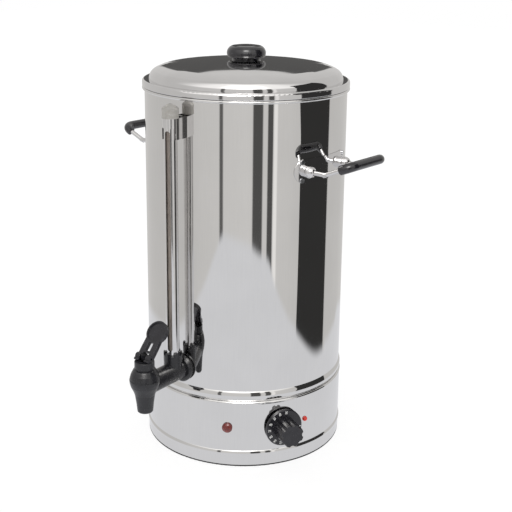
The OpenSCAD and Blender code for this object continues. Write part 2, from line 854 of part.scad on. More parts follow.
module cable_gland() {
    color("#202022")
    outward(180, gland_z, skirt_r + apart)
    difference() {
        union() {
            cylinder(d = gland_hex / cos(30), h = gland_hex_t, $fn = 6);
            translate([0, 0, -gland_in]) cylinder(r = gland_r, h = gland_in + gland_out);
        }
        translate([0, 0, -gland_in - over]) cylinder(r = cable_d / 2 + 1, h = gland_in + gland_out + 2 * over);
        translate([0, 0, gland_hex_t]) cylinder(r = gland_r - gland_wall, h = gland_out);
    }
}

module gland_locknut() {
    color("#202022")
    outward(180, gland_z, gland_seat - gland_locknut_t) hex_nut(gland_hex, gland_r + fit, gland_locknut_t);
}

module gland_cap() {
    color("#202022")
    outward(180, gland_z, skirt_r + apart + gland_hex_t + apart)
    difference() {
        union() {
            cylinder(r = gland_cap_r, h = gland_cap_out - 6);
            translate([0, 0, gland_cap_out - 6]) cylinder(r1 = gland_cap_r, r2 = gland_cap_r - 3.5, h = 6);
        }
        translate([0, 0, -over]) cylinder(r = gland_r + fit, h = gland_out - gland_hex_t - apart + over + 0.4);
        translate([0, 0, -over]) cylinder(r = cable_d / 2 + 1, h = gland_cap_out + 2 * over);
    }
}

module gland_seal() {
    color("#303030")
    outward(180, gland_z, skirt_r + apart + gland_hex_t + fit)
        ring(gland_r - gland_wall - fit, cable_d / 2 + 0.2, gland_out - gland_hex_t - 0.2);
}

// ---------- tap ----------

// The bowl and spout: radius grows from the spout's mouth to the widest part of the bowl
module bowl_outline() {
    span = bowl_r - spout_r;
    polygon([
        [0, -spout_drop],
        [spout_r - 1, -spout_drop],
        [spout_r, 1.2 - spout_drop],
        [spout_r + 0.12 * span, -23],
        [spout_r + 0.31 * span, -11],
        [spout_r + 0.53 * span, -5.4],
        [spout_r + 0.83 * span, 0.5],
        [spout_r + 0.97 * span, 5.5],
        [bowl_r, 8.6],
        [bowl_r, bowl_top],
        [0, bowl_top],
    ]);
}

module tap_body() {
    color("#202022")
    difference() {
        union() {
            outward(0, tap_z, tank_r - shank_inside) cylinder(r = shank_r, h = shank_inside + 12);
            outward(0, tap_z, barrel_start) cylinder(d = barrel_d, h = tap_r - barrel_start);
            translate([0, -tap_r, tap_z]) rotate_extrude() bowl_outline();
            translate([0, -gauge_r, tap_z]) cylinder(r = boss_r, h = boss_top);
        }
        outward(0, tap_z, tank_r - shank_inside - over)
            cylinder(d = way_d, h = shank_inside + tap_reach + over);
        translate([0, -tap_r, tap_z]) {
            translate([0, 0, bowl_top]) cylinder(r = bowl_r + apart, h = barrel_d);
            difference() {
                translate([0, 0, bowl_floor]) cylinder(r = bowl_in_r, h = bowl_top - bowl_floor + over);
                translate([0, 0, bowl_floor - over]) cylinder(r = spout_hole_d / 2 + 1.6, h = seat_lip + over);
            }
            translate([0, 0, bonnet_start - 0.2]) cylinder(r = bonnet_r + fit, h = bowl_top);
            translate([0, 0, -spout_drop - over])
                cylinder(d = spout_hole_d, h = spout_drop + bowl_floor + seat_lip + 2 * over);
        }
        translate([0, -gauge_r, tap_z]) {
            cylinder(r = glass_r - glass_t - 0.3, h = boss_top);
            translate([0, 0, glass_seat]) cylinder(r = glass_r + fit, h = boss_top);
            translate([0, 0, seal_floor]) cylinder(r = nut_spigot_r + fit, h = boss_top);
        }
    }
}

module tap_collar() {
    color("#202022")
    outward(0, tap_z, tank_r + seal_t)
    difference() {
        union() {
            cylinder(d = collar_d, h = collar_t - 2);
            translate([0, 0, collar_t - 2]) cylinder(d1 = collar_d, d2 = collar_d - 4, h = 2 - fit);
        }
        translate([0, 0, -over]) cylinder(r = shank_r + fit, h = collar_t + 2 * over);
    }
}

module tap_seals() {
    color("#b5442e") {
        difference() {
            outward(0, tap_z, tank_r - 3) ring(collar_d / 2 - 1.5, shank_r + fit, 3 + seal_t);
            translate([0, 0, tap_z - collar_d]) cylinder(r = tank_r + seat, h = 2 * collar_d);
        }
        intersection() {
            outward(0, tap_z, tank_in_r - seal_t - 1) ring(locknut_af / 2, shank_r + fit, seal_t + 4);
            translate([0, 0, tap_z - locknut_af]) cylinder(r = tank_in_r - seat, h = 2 * locknut_af);
        }
    }
}

module tap_locknut() {
    color("#e8e8e8")
    outward(0, tap_z, tank_in_r - seal_t - 1 - locknut_t) hex_nut(locknut_af, shank_r + fit, locknut_t);
}

module tap_bonnet() {
    color("#202022")
    translate([0, -tap_r, tap_z])
    difference() {
        rotate_extrude() {
            polygon([
                [0, bowl_top + 0.2],
                [bowl_r - 0.3, bowl_top + 0.2],
                [bowl_r - 0.6, 13],
                [bowl_r - 2, 17.5],
                [bowl_r - 4.2, 21.8],
                [bowl_r - 5.3, 23.7],
                [bonnet_ring_r - 0.9, 24.6],
                [bonnet_ring_r - 0.9, 26],
                [bonnet_ring_r, 26.5],
                [bonnet_ring_r, bonnet_top - 0.7],
                [bonnet_ring_r - 0.7, bonnet_top],
                [0, bonnet_top],
            ]);
            translate([0, bonnet_start]) square([bonnet_r, bowl_top + 0.3 - bonnet_start]);
        }
        translate([0, 0, bonnet_start - over]) cylinder(r = bonnet_r - 3, h = bonnet_roof - bonnet_start + over);
        cylinder(r = stem_r + fit, h = bonnet_top + over);
    }
}

module tap_stem() {
    color("#d0d0d0")
    translate([0, -tap_r, tap_z])
    difference() {
        union() {
            translate([0, 0, -0.6]) cylinder(r = stem_r, h = pin_h);
            translate([0, 0, bonnet_top + 0.5]) cylinder(r = stem_head_r, h = pin_h - bonnet_top + 3.5);
        }
        translate([-10, 0, pin_h]) rotate([0, 90, 0]) cylinder(r = pin_r + fit / 4, h = 20);
    }
}

module tap_seat_cup() {
    seat = bowl_floor + seat_lip + seat_gap;
    color("#d9d4c8")
    translate([0, -tap_r, tap_z])
    difference() {
        union() {
            translate([0, 0, seat]) cylinder(r = cup_r, h = 3.6);
            translate([0, 0, seat]) cylinder(r = cup_r - 4.5, h = cup_top - seat);
        }
        translate([0, 0, -0.7]) cylinder(r = stem_r + fit / 2, h = 10);
    }
}

module tap_spring() {
    low = bowl_floor + seat_lip + seat_gap + 3.6 + spring_wire_d / 2 + fit;
    high = bonnet_roof - spring_wire_d / 2 - apart;
    steps = spring_turns * 12;
    color("silver")
    translate([0, -tap_r, tap_z])
        tube_along([
            for (i = [0 : steps])
                let (turn = 360 * spring_turns * i / steps)
                [spring_r * cos(turn), spring_r * sin(turn), low + (high - low) * i / steps]
        ], spring_wire_d, 6, [0, 0, 1]);
}

// Lever outline in its own plane, with its pin at the origin and its length upwards
module lever_outline() {
    difference() {
        union() {
            translate([-lever_w / 2, 0]) square([lever_w, lever_l * 0.45]);
            polygon([
                [-lever_w / 2, lever_l * 0.4],
                [lever_w / 2, lever_l * 0.4],
                [disc_d * 0.36, lever_l],
                [-disc_d * 0.36, lever_l],
            ]);
            translate([0, lever_l]) circle(d = disc_d);
        }
        translate([-ear_in, -over]) square([2 * ear_in, over + 6.5]);
        translate([-lever_slot_w / 2, lever_slot_low])
            square([lever_slot_w, lever_l - disc_d / 2 - 0.5 - lever_slot_low]);
    }
}

module tap_lever() {
    color("#202022")
    translate([0, -tap_r, tap_z + pin_h])
    difference() {
        union() {
            rotate([-lever_lean, 0, 0]) difference() {
                translate([0, lever_back + lever_t / 2, 0]) rotate([90, 0, 0])
                    linear_extrude(lever_t) lever_outline();
                translate([0, lever_back - lever_t / 2 - over, lever_l]) rotate([-90, 0, 0])
                    cylinder(d = disc_d - 4.4, h = over + 1.5);
            }
            for (side = [-1, 1]) translate([side * (ear_in + lever_w / 2) / 2, 0, 0]) {
                rotate([0, 90, 0]) cylinder(r = ear_r, h = ear_w, center = true);
                translate([0, -heel_reach * sin(heel_angle), -heel_reach * cos(heel_angle)])
                    rotate([0, 90, 0]) cylinder(r = heel_r, h = ear_w, center = true);
            }
        }
        translate([-20, 0, 0]) rotate([0, 90, 0]) cylinder(r = pin_r + running, h = 40);
    }
}

module tap_lever_pin() {
    color("silver")
    translate([-lever_w / 2 + 0.4, -tap_r, tap_z + pin_h]) rotate([0, 90, 0])
        cylinder(r = pin_r, h = lever_w - 0.8);
}

// ---------- sight gauge ----------

module gauge_nut() {
    color("#202022")
    translate([0, -gauge_r, tap_z])
    difference() {
        union() {
            translate([0, 0, boss_top - 2.8]) cylinder(r = nut_spigot_r, h = 4);
            translate([0, 0, boss_top + fit]) cylinder(r = nut_r, h = nut_top - boss_top - fit);
        }
        cylinder(r = glass_r + 0.5, h = nut_top);
        translate([0, 0, nut_ledge]) cylinder(r = guard_r + fit, h = nut_top);
        for (i = [0 : nut_teeth - 1]) rotate([0, 0, 360 * (i + 0.5) / nut_teeth + 36])
            translate([guard_r, -2.6, nut_top - 3.6]) cube([10, 5.2, 5]);
    }
}

module gauge_seals() {
    color("#b5442e")
    translate([0, -gauge_r, 0]) {
        translate([0, 0, tap_z + seal_floor]) ring(nut_spigot_r, glass_r + fit / 2, boss_top - 2.8 - seal_floor - fit);
        translate([0, 0, guard_top - cap_plug - 4.2]) ring(guard_r - guard_t - fit, glass_r + fit / 2, 4);
    }
}

module gauge_glass() {
    color([0.8, 0.9, 0.9, 0.4])
    translate([0, -gauge_r, tap_z + glass_seat + fit])
        ring(glass_r, glass_r - glass_t, guard_top + glass_in_cap - tap_z - glass_seat - fit);
}

module gauge_guard() {
    slot_r = slot_w / 2;
    color("#d8dade")
    translate([0, -gauge_r, 0])
    difference() {
        translate([0, 0, tap_z + nut_ledge + fit])
            ring(guard_r, guard_r - guard_t, guard_top - tap_z - nut_ledge - fit);
        rotate([0, 0, slot_az]) {
            for (z = [slot_low + slot_r, slot_high - slot_r])
                translate([0, 0, z]) rotate([90, 0, 0]) cylinder(r = slot_r, h = guard_r + over);
            translate([-slot_r, -guard_r - over, slot_low + slot_r])
                cube([slot_w, guard_r + over, slot_high - slot_low - slot_w]);
        }
    }
}

module gauge_cap() {
    shoulder = cap_h - 4;
    color([0.85, 0.85, 0.83, 0.6])
    translate([0, -gauge_r, guard_top])
    difference() {
        union() {
            translate([0, 0, fit]) cylinder(d = cap_d, h = shoulder - 1.5 - fit);
            translate([0, 0, shoulder - 1.5]) cylinder(d1 = cap_d, d2 = cap_d - 3, h = 1.5);
            translate([0, 0, shoulder]) cylinder(d1 = cap_d - 3, d2 = 5, h = 4);
            translate([0, 0, -cap_plug]) cylinder(r = guard_r - guard_t - fit, h = cap_plug + 1);
        }
        translate([0, 0, -cap_plug - over]) cylinder(r = glass_r + fit, h = cap_plug + over + glass_in_cap + fit);
        cylinder(r = 1, h = cap_h + over, $fn = 24);
    }
}

// Outline of the clip seen from above: a loop round the guard tube with legs to the wall
module clip_loop(r) {
    circle(r = r);
    translate([-r, 0]) square([2 * r, gauge_out + 2]);
}

module gauge_clip() {
    inner = guard_r + fit;
    outer = inner + clip_t;
    back = gauge_out - 0.4;
    color("#d8dade")
    difference() {
        translate([0, -gauge_r, clip_top - clip_h]) difference() {
            linear_extrude(clip_h) clip_loop(outer);
            difference() {
                translate([0, 0, -over]) linear_extrude(clip_h + 2 * over) clip_loop(inner);
                translate([-outer, back - clip_t, -2 * over]) cube([2 * outer, 4, clip_h + 4 * over]);
            }
            rotate([0, 0, slot_az]) translate([-guard_r, -2 * outer, -over])
                cube([2 * guard_r, 2 * outer, clip_h - clip_front_h + over]);
        }
        translate([0, 0, clip_top - clip_h - over]) cylinder(r = tank_r + seat, h = clip_h + 2 * over);
        outward(0, clip_top - clip_h / 2, tank_r - over) cylinder(r = clip_screw_r + fit, h = 6);
    }
}

module gauge_clip_fixing() {
    color("silver")
    outward(0, clip_top - clip_h / 2, 0) {
        translate([0, 0, tank_r + 0.4 + clip_t]) cylinder(r = 3.6, h = 2.2);
        translate([0, 0, tank_in_r - 6]) cylinder(r = clip_screw_r, h = sheet + clip_t + 7);
        translate([0, 0, tank_in_r - 4.6]) hex_nut(7, clip_screw_r + fit, 3.2);
        translate([0, 0, tank_in_r - 1.3]) ring(4.5, clip_screw_r + fit, 1);
    }
}

// ---------- lid ----------

// The dome's outline with its surface moved in by the given distance
module dome_outline(inset) {
    far = 2 * dome_wide_r;
    reach = 2 * dome_crown_r;
    lap = 8;
    intersection() {
        translate([0, dome_crown_z]) circle(r = dome_crown_r - inset, $fn = 1440);
        polygon([
            [0, dome_crown_z],
            [reach * sin(dome_lean), dome_crown_z + reach * cos(dome_lean)],
            [0, dome_crown_z + reach],
        ]);
        translate([0, lip_top - inset]) square([dome_r, dome_h]);
    }
    intersection() {
        translate(dome_wide_axis) circle(r = dome_wide_r - inset, $fn = 180);
        polygon([
            dome_wide_axis,
            dome_wide_axis + far * [cos(dome_meet), sin(dome_meet)],
            dome_wide_axis + far * [sin(dome_lean - lap), cos(dome_lean - lap)],
        ]);
        translate([0, lip_top - inset]) square([dome_r, dome_h + over]);
    }
    intersection() {
        translate(dome_side_axis) circle(r = dome_side_r - inset, $fn = 120);
        translate([0, lip_top - inset]) square([dome_r + over, dome_h]);
    }
    translate([0, lip_top - inset]) square([dome_side_axis[0], dome_side_r * sin(dome_meet)]);
}

module lid_shell() {
    lip_edge_r = 3;
    color("#d8dade")
    difference() {
        rotate_extrude() {
            difference() {
                dome_outline(0);
                dome_outline(sheet);
            }
            difference() {
                union() {
                    translate([0, lid_z]) square([lip_r - 1, lip_h]);
                    translate([0, lid_z + 1]) square([lip_r, lip_h - 1 - lip_edge_r]);
                    translate([lip_r - 1, lid_z + 1]) circle(r = 1, $fn = 32);
                    translate([lip_r - lip_edge_r, lip_top - lip_edge_r]) circle(r = lip_edge_r, $fn = 48);
                }
                translate([lip_r - lip_edge_r - 1, lip_top - lip_edge_r]) square([2 * lip_edge_r, 2 * lip_edge_r]);
                translate([0, lid_z + sheet]) square([lip_r - sheet, lip_h - sheet - lip_edge_r]);
                translate([0, lid_z + sheet]) square([lip_r - lip_edge_r, lip_h - 2 * sheet]);
                translate([0, lid_z - over]) square([tank_in_r - sheet, 3 * sheet + over]);
                translate([0, lid_z]) square([dome_r - sheet, lip_h + over]);
            }
            intersection() {
                translate([lip_r - lip_edge_r, lip_top - lip_edge_r]) difference() {
                    circle(r = lip_edge_r, $fn = 48);
                    circle(r = lip_edge_r - sheet, $fn = 48);
                }
                translate([lip_r - lip_edge_r, lip_top - lip_edge_r]) square([lip_edge_r, lip_edge_r]);
            }
            translate([dome_r - sheet, lip_top - sheet]) square([lip_r - lip_edge_r - dome_r + sheet, sheet]);
        }
        translate([0, 0, lid_top - sheet - over]) cylinder(r = knob_screw_r + fit, h = sheet + 2 * over);
    }
}

module lid_centring_ring() {
    color("#d8dade")
    translate([0, 0, lid_z - centring_depth])
        ring(centring_r, centring_r - sheet, centring_depth + lip_h - sheet);
}

module lid_knob() {
    r = knob_d / 2;
    color("#202022")
    translate([0, 0, lid_top])
    difference() {
        rotate_extrude() polygon([
            [0, 0],
            [0.72 * r, 0],
            [0.71 * r, 0.03 * knob_h],
            [0.71 * r, 0.075 * knob_h],
            [0.75 * r, 0.105 * knob_h],
            [0.85 * r, 0.135 * knob_h],
            [0.92 * r, 0.18 * knob_h],
            [0.965 * r, 0.25 * knob_h],
            [0.99 * r, 0.34 * knob_h],
            [r, 0.44 * knob_h],
            [0.995 * r, 0.54 * knob_h],
            [0.97 * r, 0.65 * knob_h],
            [0.925 * r, 0.76 * knob_h],
            [0.85 * r, 0.865 * knob_h],
            [0.74 * r, 0.94 * knob_h],
            [0.55 * r, 0.98 * knob_h],
            [0.28 * r, 0.995 * knob_h],
            [0, knob_h],
        ]);
        translate([0, 0, -over]) cylinder(r = knob_screw_r + fit, h = knob_screw_depth + over + 0.5);
    }
}

module lid_knob_screw() {
    color("silver")
    translate([0, 0, lid_top - sheet]) {
        translate([0, 0, -3.6]) cylinder(r = 4.6, h = 2.6);
        translate([0, 0, -1]) ring(7, knob_screw_r + fit, 1);
        translate([0, 0, -1.5]) cylinder(r = knob_screw_r, h = knob_screw_depth + sheet + 1.5);
    }
}

// ---------- handles ----------

// The four rivets of one bracket: children's +Z points away from the axis, with z = 0 on the tank wall
module rivet_places(azimuth) {
    for (side = [-1, 1], up = [-1, 1])
        outward(azimuth + side * asin(rivet_y / tank_r), handle_z + up * rivet_dz, tank_r) children();
}

module handle_bracket(azimuth) {
    slot = rod_r + apart;
    difference() {
        union() {
            towards(azimuth) wrapped(tank_r + seat, bracket_t) {
                translate([-leg_y, handle_z - bracket_h / 2]) square([leg_spacing, bracket_h]);
                for (side = [-1, 1]) translate([side * leg_y, handle_z]) circle(d = bracket_h);
            }
            for (side = [-1, 1]) rotate([0, 0, side * knuckle_angle]) {
                outward(azimuth, handle_z, tank_r + 0.8) cylinder(d = knuckle_d - 1, h = knuckle_r - 0.8);
                outward(azimuth, handle_z, knuckle_line) sphere(d = knuckle_d);
            }
        }
        towards(azimuth) for (side = [-1, 1]) translate([pivot_x, side * leg_y, handle_z]) {
            rotate([90, 0, 0]) cylinder(r = rod_r + running, h = journal_l + 2 * apart, center = true);
            translate([-slot, -slot, -knuckle_d]) cube([2 * knuckle_d, 2 * slot, knuckle_d + slot]);
        }
        for (side = [-1, 1], up = [-1, 1])
            outward(azimuth + side * asin(rivet_y / tank_r), handle_z + up * rivet_dz, tank_r - over)
                cylinder(r = rivet_r + fit, h = bracket_t + 3 * over);
    }
}

module handle_brackets() {
    color("#d8dade")
    for (azimuth = handle_azs) handle_bracket(azimuth);
}

module bracket_rivets() {
    color("silver")
    for (azimuth = handle_azs) rivet_places(azimuth) {
        translate([0, 0, -sheet - rivet_head_h - apart]) cylinder(r = rivet_head_r, h = rivet_head_h);
        translate([0, 0, -sheet - apart - 0.2]) cylinder(r = rivet_r, h = sheet + bracket_t + 2 * apart + 0.4);
        translate([0, 0, seat + bracket_t + 0.1]) cylinder(r = rivet_head_r, h = rivet_head_h);
    }
}

// Half of the handle's outline beyond the pivot, as a round bar of the given diameter
module bent_bar(d, tail) {
    translate([leg_flat, 0, 0]) rotate([0, -leg_slope, 0]) {
        translate([leg_sloped, 0, 0]) rotate([90, 0, 0])
            cylinder(d = d, h = 2 * (leg_y - corner_r), center = true);
        for (side = [0, 1]) mirror([0, side, 0]) {
            translate([leg_sloped - corner_r, leg_y - corner_r, 0])
                rotate_extrude(angle = 90) translate([corner_r, 0]) circle(d = d, $fn = 48);
            translate([leg_sloped - corner_r - tail, leg_y, 0]) rotate([0, 90, 0]) cylinder(d = d, h = tail);
        }
    }
}

module handle_bail(azimuth) {
    color("#d8dade")
    towards(azimuth) translate([pivot_x, 0, handle_z]) {
        bent_bar(rod_d, leg_sloped - corner_r);
        for (side = [-1, 1]) translate([0, side * leg_y, 0]) {
            translate([leg_flat, 0, 0]) rotate([0, 90 - leg_slope / 2, 0])
                cylinder(d = rod_d + 0.6, h = 6, center = true);
            rotate([0, 90, 0]) cylinder(d = rod_d, h = leg_flat);
            rotate([90, 0, 0]) cylinder(d = rod_d, h = journal_l, center = true);
        }
    }
}

module handle_grip(azimuth) {
    color("#202022")
    towards(azimuth) translate([pivot_x, 0, handle_z])
    difference() {
        bent_bar(grip_d, grip_tail);
        bent_bar(rod_d + fit, grip_tail + over);
    }
}

tank_shell();
tank_floor();
base_skirt();
base_plate();
foot_ring();
base_posts();
base_screws();
heating_element();
element_bushes();
element_seals();
element_nuts();
thermostat_body();
thermostat_bracket();
thermostat_screws();
thermostat_shaft();
capillary_tube();
sensor_bulb();
bulb_clip();
thermal_cutout();
cutout_bracket();
lamp_lens();
lamp_body();
lamp_nut();
dial_knob();
dial_index();
terminal_block();
cable_gland();
gland_locknut();
gland_cap();
gland_seal();
wiring();
earth_terminal();
tap_body();
tap_collar();
tap_seals();
tap_locknut();
tap_bonnet();
tap_stem();
tap_seat_cup();
tap_spring();
tap_lever();
tap_lever_pin();
gauge_nut();
gauge_seals();
gauge_glass();
gauge_guard();
gauge_cap();
gauge_clip();
gauge_clip_fixing();
lid_shell();
lid_centring_ring();
lid_knob();
lid_knob_screw();
handle_brackets();
bracket_rivets();
handle_bail(handle_azs[0]);  // handle_bail_right
handle_bail(handle_azs[1]);  // handle_bail_left
handle_grip(handle_azs[0]);  // handle_grip_right
handle_grip(handle_azs[1]);  // handle_grip_left
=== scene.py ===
"""Finishes, printed numerals, welds, studio and camera of the hot water urn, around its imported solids."""

import logging
import math
from dataclasses import dataclass, field
from enum import Enum
from typing import Any, ClassVar

import bmesh
import bpy
from mathutils import Matrix, Vector


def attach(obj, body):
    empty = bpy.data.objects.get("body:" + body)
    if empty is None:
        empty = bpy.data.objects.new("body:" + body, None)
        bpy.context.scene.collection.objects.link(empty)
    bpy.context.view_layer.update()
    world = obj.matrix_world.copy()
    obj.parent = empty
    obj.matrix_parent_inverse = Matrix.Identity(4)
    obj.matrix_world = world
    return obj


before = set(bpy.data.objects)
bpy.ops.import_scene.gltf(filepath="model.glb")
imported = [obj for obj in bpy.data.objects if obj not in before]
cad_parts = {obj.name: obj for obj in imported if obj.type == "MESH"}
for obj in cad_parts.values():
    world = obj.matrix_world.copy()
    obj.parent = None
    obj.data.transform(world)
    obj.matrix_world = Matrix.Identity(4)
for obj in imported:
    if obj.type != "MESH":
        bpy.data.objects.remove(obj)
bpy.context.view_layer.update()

LOG = logging.getLogger("urn")
MM = 0.001
Sockets = dict[int | str, Any]
WHITE = (1.0, 1.0, 1.0, 1.0)


def linear(code: str) -> tuple[float, float, float, float]:
    """Turns an sRGB hex colour into linear light.

    Args:
        code: The colour, as "#RRGGBB".

    Returns:
        Red, green, blue and an alpha of 1.
    """
    parts = [int(code[i : i + 2], 16) / 255 for i in (1, 3, 5)]
    red, green, blue = (c / 12.92 if c <= 0.04045 else ((c + 0.055) / 1.055) ** 2.4 for c in parts)
    return red, green, blue, 1.0


def add_node(
    tree: bpy.types.NodeTree, kind: str, values: Sockets | None = None, links: Sockets | None = None, **settings: Any
) -> bpy.types.Node:
    """Adds one node with its settings, constants and links.

    Args:
        tree: The tree that the node joins.
        kind: The node's type, such as "ShaderNodeMath".
        values: Constants by input name or index.
        links: Output sockets that feed the inputs, by input name or index.
        settings: The node's own properties.

    Returns:
        The new node.
    """
    node = tree.nodes.new(kind)
    for name, value in settings.items():
        setattr(node, name, value)
    for socket, value in (values or {}).items():
        node.inputs[socket].default_value = value
    for socket, source in (links or {}).items():
        tree.links.new(source, node.inputs[socket])
    return node


class Grain(Enum):
    """The direction that a finish was worked in."""

    EVEN = "even"  # moulded, cast or plated: the same every way
    UPRIGHT = "upright"  # drawn or brushed along Z
    ROUND = "round"  # turned or polished round the row's Z axis


@dataclass(frozen=True)
class Finish:
    """A material and how its surface was made. Lengths are real ones in millimetres."""

    name: str
    colour: str
    shade: str
    roughness: float
    spread: float = 0.05
    patch_mm: float = 14.0
    grain: Grain = Grain.EVEN
    grain_mm: float = 0.6
    grain_depth_mm: float = 0.0
    stretch: float = 30.0
    wave_mm: float = 0.0
    wave_depth_mm: float = 0.0
    metallic: float = 0.0
    ior: float = 1.5
    transmission: float = 0.0
    coat: float = 0.0
    edge_mm: float = 0.0
    # colour of the paler edges: partly rubbed wear, partly a painted edge highlight
    edge_wear_and_highlight: str = ""

    # What the noises give between them, which is taken as the whole range of the finish
    PATTERN_LOW: ClassVar[float] = 0.3
    PATTERN_HIGH: ClassVar[float] = 0.7
    RAMP_LOW: ClassVar[float] = 0.34
    RAMP_HIGH: ClassVar[float] = 0.66
    GRAIN_SHARE: ClassVar[float] = 0.35
    SMOOTHEST: ClassVar[float] = 0.01
    COAT_ROUGHNESS: ClassVar[float] = 0.08
    # How far the two normals agree where the paler edge starts, and where it is full: partly rubbed wear, partly a
    # painted edge highlight
    EDGE_WEAR_HIGHLIGHT_START: ClassVar[float] = 0.995
    EDGE_WEAR_HIGHLIGHT_FULL: ClassVar[float] = 0.88
    EDGE_WEAR_HIGHLIGHT_MOST: ClassVar[float] = 0.7

    def material(self) -> bpy.types.Material:
        """Builds the finish's material, or gives the one already built.

        Returns:
            The material, named for the finish.
        """
        made = bpy.data.materials.get(self.name)
        if made is not None and made.get("dressed"):
            return made
        material = bpy.data.materials.new(self.name)
        material["dressed"] = True
        material.use_nodes = True
        tree = material.node_tree
        shader = tree.nodes["Principled BSDF"]
        shader.inputs["Metallic"].default_value = self.metallic
        if self.metallic < 1:
            shader.inputs["IOR"].default_value = self.ior
        shader.inputs["Transmission Weight"].default_value = self.transmission
        shader.inputs["Coat Weight"].default_value = self.coat
        shader.inputs["Coat Roughness"].default_value = self.COAT_ROUGHNESS
        place = self.place(tree)
        patches = add_node(
            tree,
            "ShaderNodeTexNoise",
            {"Scale": 1 / (self.patch_mm * MM), "Detail": 4.0, "Roughness": 0.55},
            {"Vector": place.outputs["Object"]},
        )
        grain = add_node(
            tree,
            "ShaderNodeTexNoise",
            {"Scale": 1 / (self.grain_mm * MM), "Detail": 3.0},
            {"Vector": self.direction(tree, place)},
        )
        both = add_node(
            tree,
            "ShaderNodeMix",
            {"Factor": self.GRAIN_SHARE},
            {"A": patches.outputs["Fac"], "B": grain.outputs["Fac"]},
        )
        rough = add_node(
            tree,
            "ShaderNodeMapRange",
            {
                "From Min": self.PATTERN_LOW,
                "From Max": self.PATTERN_HIGH,
                "To Min": max(self.SMOOTHEST, self.roughness - self.spread),
                "To Max": self.roughness + self.spread,
            },
            {"Value": both.outputs["Result"]},
        )
        tree.links.new(rough.outputs["Result"], shader.inputs["Roughness"])
        edges = self.edges(tree)
        tree.links.new(self.tint(tree, both, edges), shader.inputs["Base Color"])
        normal = edges.outputs["Normal"] if edges else None
        if self.wave_depth_mm:
            wave = add_node(
                tree,
                "ShaderNodeTexNoise",
                {"Scale": 1 / (self.wave_mm * MM), "Detail": 1.0},
                {"Vector": place.outputs["Object"]},
            )
            normal = self.bump(tree, wave, self.wave_depth_mm, normal)
        if self.grain_depth_mm:
            normal = self.bump(tree, grain, self.grain_depth_mm, normal)
        if normal:
            tree.links.new(normal, shader.inputs["Normal"])
        return material

    def place(self, tree: bpy.types.NodeTree) -> bpy.types.Node:
        """Adds the node that gives a point's place in the row's frame."""
        return add_node(tree, "ShaderNodeTexCoord")

    def direction(self, tree: bpy.types.NodeTree, place: bpy.types.Node) -> bpy.types.NodeSocket:
        """Stretches the grain's pattern the way the surface was worked.

        Args:
            tree: The material's tree.
            place: The node that gives a point's place.

        Returns:
            The socket to read the grain's pattern at.
        """
        spot = place.outputs["Object"]
        if self.grain is Grain.EVEN:
            return spot
        if self.grain is Grain.UPRIGHT:
            drawn = add_node(tree, "ShaderNodeMapping", {"Scale": (1, 1, 1 / self.stretch)}, {"Vector": spot})
            return drawn.outputs["Vector"]
        flat = add_node(tree, "ShaderNodeVectorMath", {1: (1.0, 1.0, 0.0)}, {0: spot}, operation="MULTIPLY")
        radius = add_node(tree, "ShaderNodeVectorMath", links={0: flat.outputs["Vector"]}, operation="LENGTH")
        parts = add_node(tree, "ShaderNodeSeparateXYZ", links={0: spot})
        rings = add_node(
            tree, "ShaderNodeCombineXYZ", links={"X": radius.outputs["Value"], "Z": parts.outputs["Z"]}
        )
        return rings.outputs["Vector"]

    def edges(self, tree: bpy.types.NodeTree) -> bpy.types.Node | None:
        """Adds the node that rounds sharp edges, if the finish has an edge radius."""
        if not self.edge_mm:
            return None
        return add_node(tree, "ShaderNodeBevel", {"Radius": self.edge_mm * MM}, samples=4)

    def tint(
        self, tree: bpy.types.NodeTree, pattern: bpy.types.Node, edges: bpy.types.Node | None
    ) -> bpy.types.NodeSocket:
        """Mixes the finish's two colours by its pattern, and pales its edges as rubbed wear with a painted edge
        highlight.

        Args:
            tree: The material's tree.
            pattern: The mix of patches and grain.
            edges: The node that rounds the edges, if there is one.

        Returns:
            The colour's socket.
        """
        ramp = add_node(tree, "ShaderNodeValToRGB", links={"Fac": pattern.outputs["Result"]})
        first, last = ramp.color_ramp.elements
        first.position, last.position = self.RAMP_LOW, self.RAMP_HIGH
        first.color, last.color = linear(self.shade), linear(self.colour)
        if not (edges and self.edge_wear_and_highlight):
            return ramp.outputs["Color"]
        face = add_node(tree, "ShaderNodeNewGeometry")
        along = add_node(
            tree,
            "ShaderNodeVectorMath",
            links={0: face.outputs["Normal"], 1: edges.outputs["Normal"]},
            operation="DOT_PRODUCT",
        )
        # mask of the paler edges, where the bevelled normal turns away: rubbed wear and a painted edge highlight
        edge_wear_and_highlight_mask = add_node(
            tree,
            "ShaderNodeMapRange",
            {"From Min": self.EDGE_WEAR_HIGHLIGHT_START, "From Max": self.EDGE_WEAR_HIGHLIGHT_FULL, "To Max": self.EDGE_WEAR_HIGHLIGHT_MOST},
            {"Value": along.outputs["Value"]},
        )
        mixed = add_node(
            tree,
            "ShaderNodeMixRGB",
            {"Color2": linear(self.edge_wear_and_highlight)},
            {"Fac": edge_wear_and_highlight_mask.outputs["Result"], "Color1": ramp.outputs["Color"]},
        )
        return mixed.outputs["Color"]

    def bump(
        self,
        tree: bpy.types.NodeTree,
        pattern: bpy.types.Node,
        depth_mm: float,
        normal: bpy.types.NodeSocket | None,
    ) -> bpy.types.NodeSocket:
        """Adds one layer of relief over another.

        Args:
            tree: The material's tree.
            pattern: The noise that gives the relief its height.
            depth_mm: The relief's height.
            normal: The layer below, if there is one.

        Returns:
            The relief's normal.
        """
        links = {"Height": pattern.outputs["Fac"]}
        if normal:
            links["Normal"] = normal
        return add_node(tree, "ShaderNodeBump", {"Distance": depth_mm * MM}, links).outputs["Normal"]


# Stainless sheet, rolled and mirror-polished: sharp reflections, bent a little where the sheet
# isn't true, with a faint haze left by the polishing wheel.
MIRROR_STEEL = Finish(
    "mirror_polished_stainless",
    "#E6E5E4",
    "#E1E0DF",
    0.03,
    spread=0.012,
    patch_mm=60,
    grain=Grain.UPRIGHT,
    grain_mm=1.2,
    wave_mm=90,
    wave_depth_mm=0.02,
    metallic=1.0,
)
